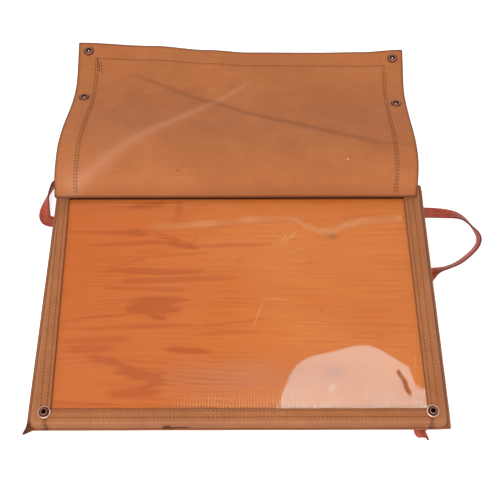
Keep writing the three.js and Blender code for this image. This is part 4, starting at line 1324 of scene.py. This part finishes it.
# stitch rows on the strips, a little above the bottom of their grooves
def windowStitches(s):
    height = faceTop - s["groove"] + 0.1
    lines = []
    for side in ("left", "right"):
        own = s[side]
        for row, stop in zip(s["sideRows"], s["rowStops"]):
            y = np.linspace(s["rowStart"], stop, 60)
            edge = half["near"] - caseSizes["farNarrowing"] * y / depth
            part = (y - s["ends"]["near"]) / (depth - s["ends"]["near"] - s["ends"]["far"])
            strip = own["near"] + (own["far"] - own["near"]) * np.clip(part, 0, 1)
            face = strip - caseSizes["lip"] - caseSizes["wallSlope"]
            x = own["sign"] * (edge - strip + np.minimum(row, face * 0.94))
            lines.append(flatLine(np.stack([x, y, np.full_like(x, height)], -1)))
    for row in s["endRows"]:
        x = np.linspace(-half["near"] + s["seamInset"] + 1, half["near"] - s["seamInset"] - 1, 60)
        y = np.full_like(x, s["ends"]["near"] - row)
        lines.append(flatLine(np.stack([x, y, np.full_like(x, height)], -1)))
    return lines


# stitch rows along the flap's hems, on its inner face
def flapStitches(s):
    lines, step = [], 0.002
    lift = halfCanvas + s["hemExtra"] * s["hemAbove"] - 0.1   # a little into the groove

    def row(across, along):
        across, along = np.broadcast_arrays(across, along)
        here = flapPoint(across, along, s)
        du = flapPoint(across + step, along, s) - flapPoint(across - step, along, s)
        dv = flapPoint(across, along + step, s) - flapPoint(across, along - step, s)
        normal = unit(np.cross(du, dv))
        lines.append((placed(here + normal * lift), normal))

    start = (s["allowance"] + math.pi * s["foldRadius"] - s["rowsFrom"]) / flapLength
    stop = 1 - s["endRow"] / flapLength
    for sign in (-1, 1):
        for inset in s["sideRows"]:
            row(sign * (1 - inset / (s["width"] / 2)), np.linspace(start, stop, 240))
    inner = 1 - s["sideRows"][0] / (s["width"] / 2)
    row(np.linspace(-inner, inner, 240), stop)
    for first, last in s["tacks"]:
        row(*np.linspace(first, last, 20).T)
    return lines


makeStitches("stitches_window", windowStitches(stripSizes))
makeStitches("stitches_flap", flapStitches(flapSizes))
print("stitches made")

threadSizes = {
    "radius": 0.34, "sides": 8, "steps": 160, "wall": (0, -0.96, 0.28),   # which way the wall faces
    "press": 0.7, "taper": 24, "thinnest": 0.02,
    "course": [                # across, reach down the near wall, clear of the canvas
        (-49.5, 1.80, 0.0), (-56, 1.76, 0.1), (-63, 1.80, 0.1), (-69, 1.86, 0.2), (-74, 1.80, 0.4),
        (-75.6, 1.66, 0.6), (-73, 1.54, 0.7), (-69.8, 1.56, 0.7), (-68.4, 1.68, 0.9), (-70.6, 1.78, 0.9),
        (-75, 1.86, 0.4), (-78, 1.88, 0.1),
    ],
}


# loose thread on the near wall: a tube of circles about a curve through places on the strip's outside,
# its radius falling off at both ends as the square root of 1 - |2t - 1|^24
def makeLooseThread(s):
    across, reach, clear = np.asarray(s["course"], float).T
    rise = np.interp(reach, *np.asarray(stripSizes["profile"], float).T)
    wall = np.array(s["wall"])
    course = np.stack([
        across, np.interp(reach, [0, 1, 2, 3], endLines(stripSizes, "near")),
        lipMid + (faceMid - lipMid) * rise,
    ], -1) + wall * (halfCanvas + s["radius"] * s["press"] + clear)[:, None]
    t = np.linspace(0, 1, s["steps"])
    centre = splinePoints(course, t)
    forward = unit(np.gradient(centre, axis=0))
    aside = unit(np.cross(forward, wall))
    up = np.cross(forward, aside)
    taper = np.sqrt(np.maximum(1 - np.abs(2 * t - 1) ** s["taper"], s["thinnest"]))
    taper = taper[:, None, None] * s["radius"]
    turn = np.linspace(0, 2 * math.pi, s["sides"], endpoint=False)[None, :, None]
    ring = centre[:, None] + (aside[:, None] * np.cos(turn) + up[:, None] * np.sin(turn)) * taper
    points = placed(np.vstack([ring.reshape(-1, 3), centre[[0, -1]]]))
    made = meshObject("loose_thread", points, tubeFaces(len(t), s["sides"]))
    dress(made, darkThread)


makeLooseThread(threadSizes)
print("loose thread made")

# studio: a pale floor that stays near white, an even pale surround, a broad key light in front and
# above, and a small bright panel high behind, which the film mirrors
studioSettings = {
    "floor": 60.0, "below": 0.0005,                # metres to its sides, and below the case
    "floorColour": (0.85, 0.85, 0.85, 1), "floorGlow": 0.6, "surround": 0.7,
    "key": {"place": (-350, -900, 1700), "size": (1.1, 1.1), "power": 22.0, "aim": (0, 200, 20)},
    "panel": {
        "place": (276, 339, 1200), "size": (0.376, 0.316), "power": 3.3, "aim": (276, 339, 0),
        "colour": (0.46, 0.95, 1.0), "shape": "ELLIPSE",
    },
}


# area light at a place, turned so that its -Z axis points at the aim
def areaLight(name, s):
    data = bpy.data.lights.new(name, "AREA")
    data.shape = s.get("shape", "RECTANGLE")
    data.size, data.size_y = s["size"]
    data.energy = s["power"]
    data.color = s.get("colour", (1, 1, 1))
    made = bpy.data.objects.new(name, data)
    made.location = placed(s["place"])
    aim = Vector(placed(s["aim"])) - Vector(made.location)
    made.rotation_euler = aim.to_track_quat("-Z", "Y").to_euler()
    bpy.context.scene.collection.objects.link(made)
    return made


# floor, surround and the two lights
def makeStudio(s):
    reach = s["floor"]
    corners = np.array([[-reach, -reach, 0], [reach, -reach, 0], [reach, reach, 0], [-reach, reach, 0]])
    floor = meshObject("floor", corners + [0, 0, -s["below"]], [np.array([[0, 1, 2, 3]])], smooth=False)
    floor.data.materials.append(newMaterial("floor", {
        "Base Color": s["floorColour"], "Roughness": 0.9, "Emission Color": (1, 1, 1, 1),
        "Emission Strength": s["floorGlow"],
    })[0])
    world = bpy.data.worlds.new("surround")
    world.use_nodes = True
    surround = world.node_tree.nodes["Background"].inputs
    surround["Color"].default_value, surround["Strength"].default_value = (1, 1, 1, 1), s["surround"]
    bpy.context.scene.world = world
    areaLight("key", s["key"])
    areaLight("panel", s["panel"]).visible_diffuse = False   # seen only as the gloss on the film


makeStudio(studioSettings)
bpy.context.scene.view_settings.view_transform = "Standard"
print("studio made")
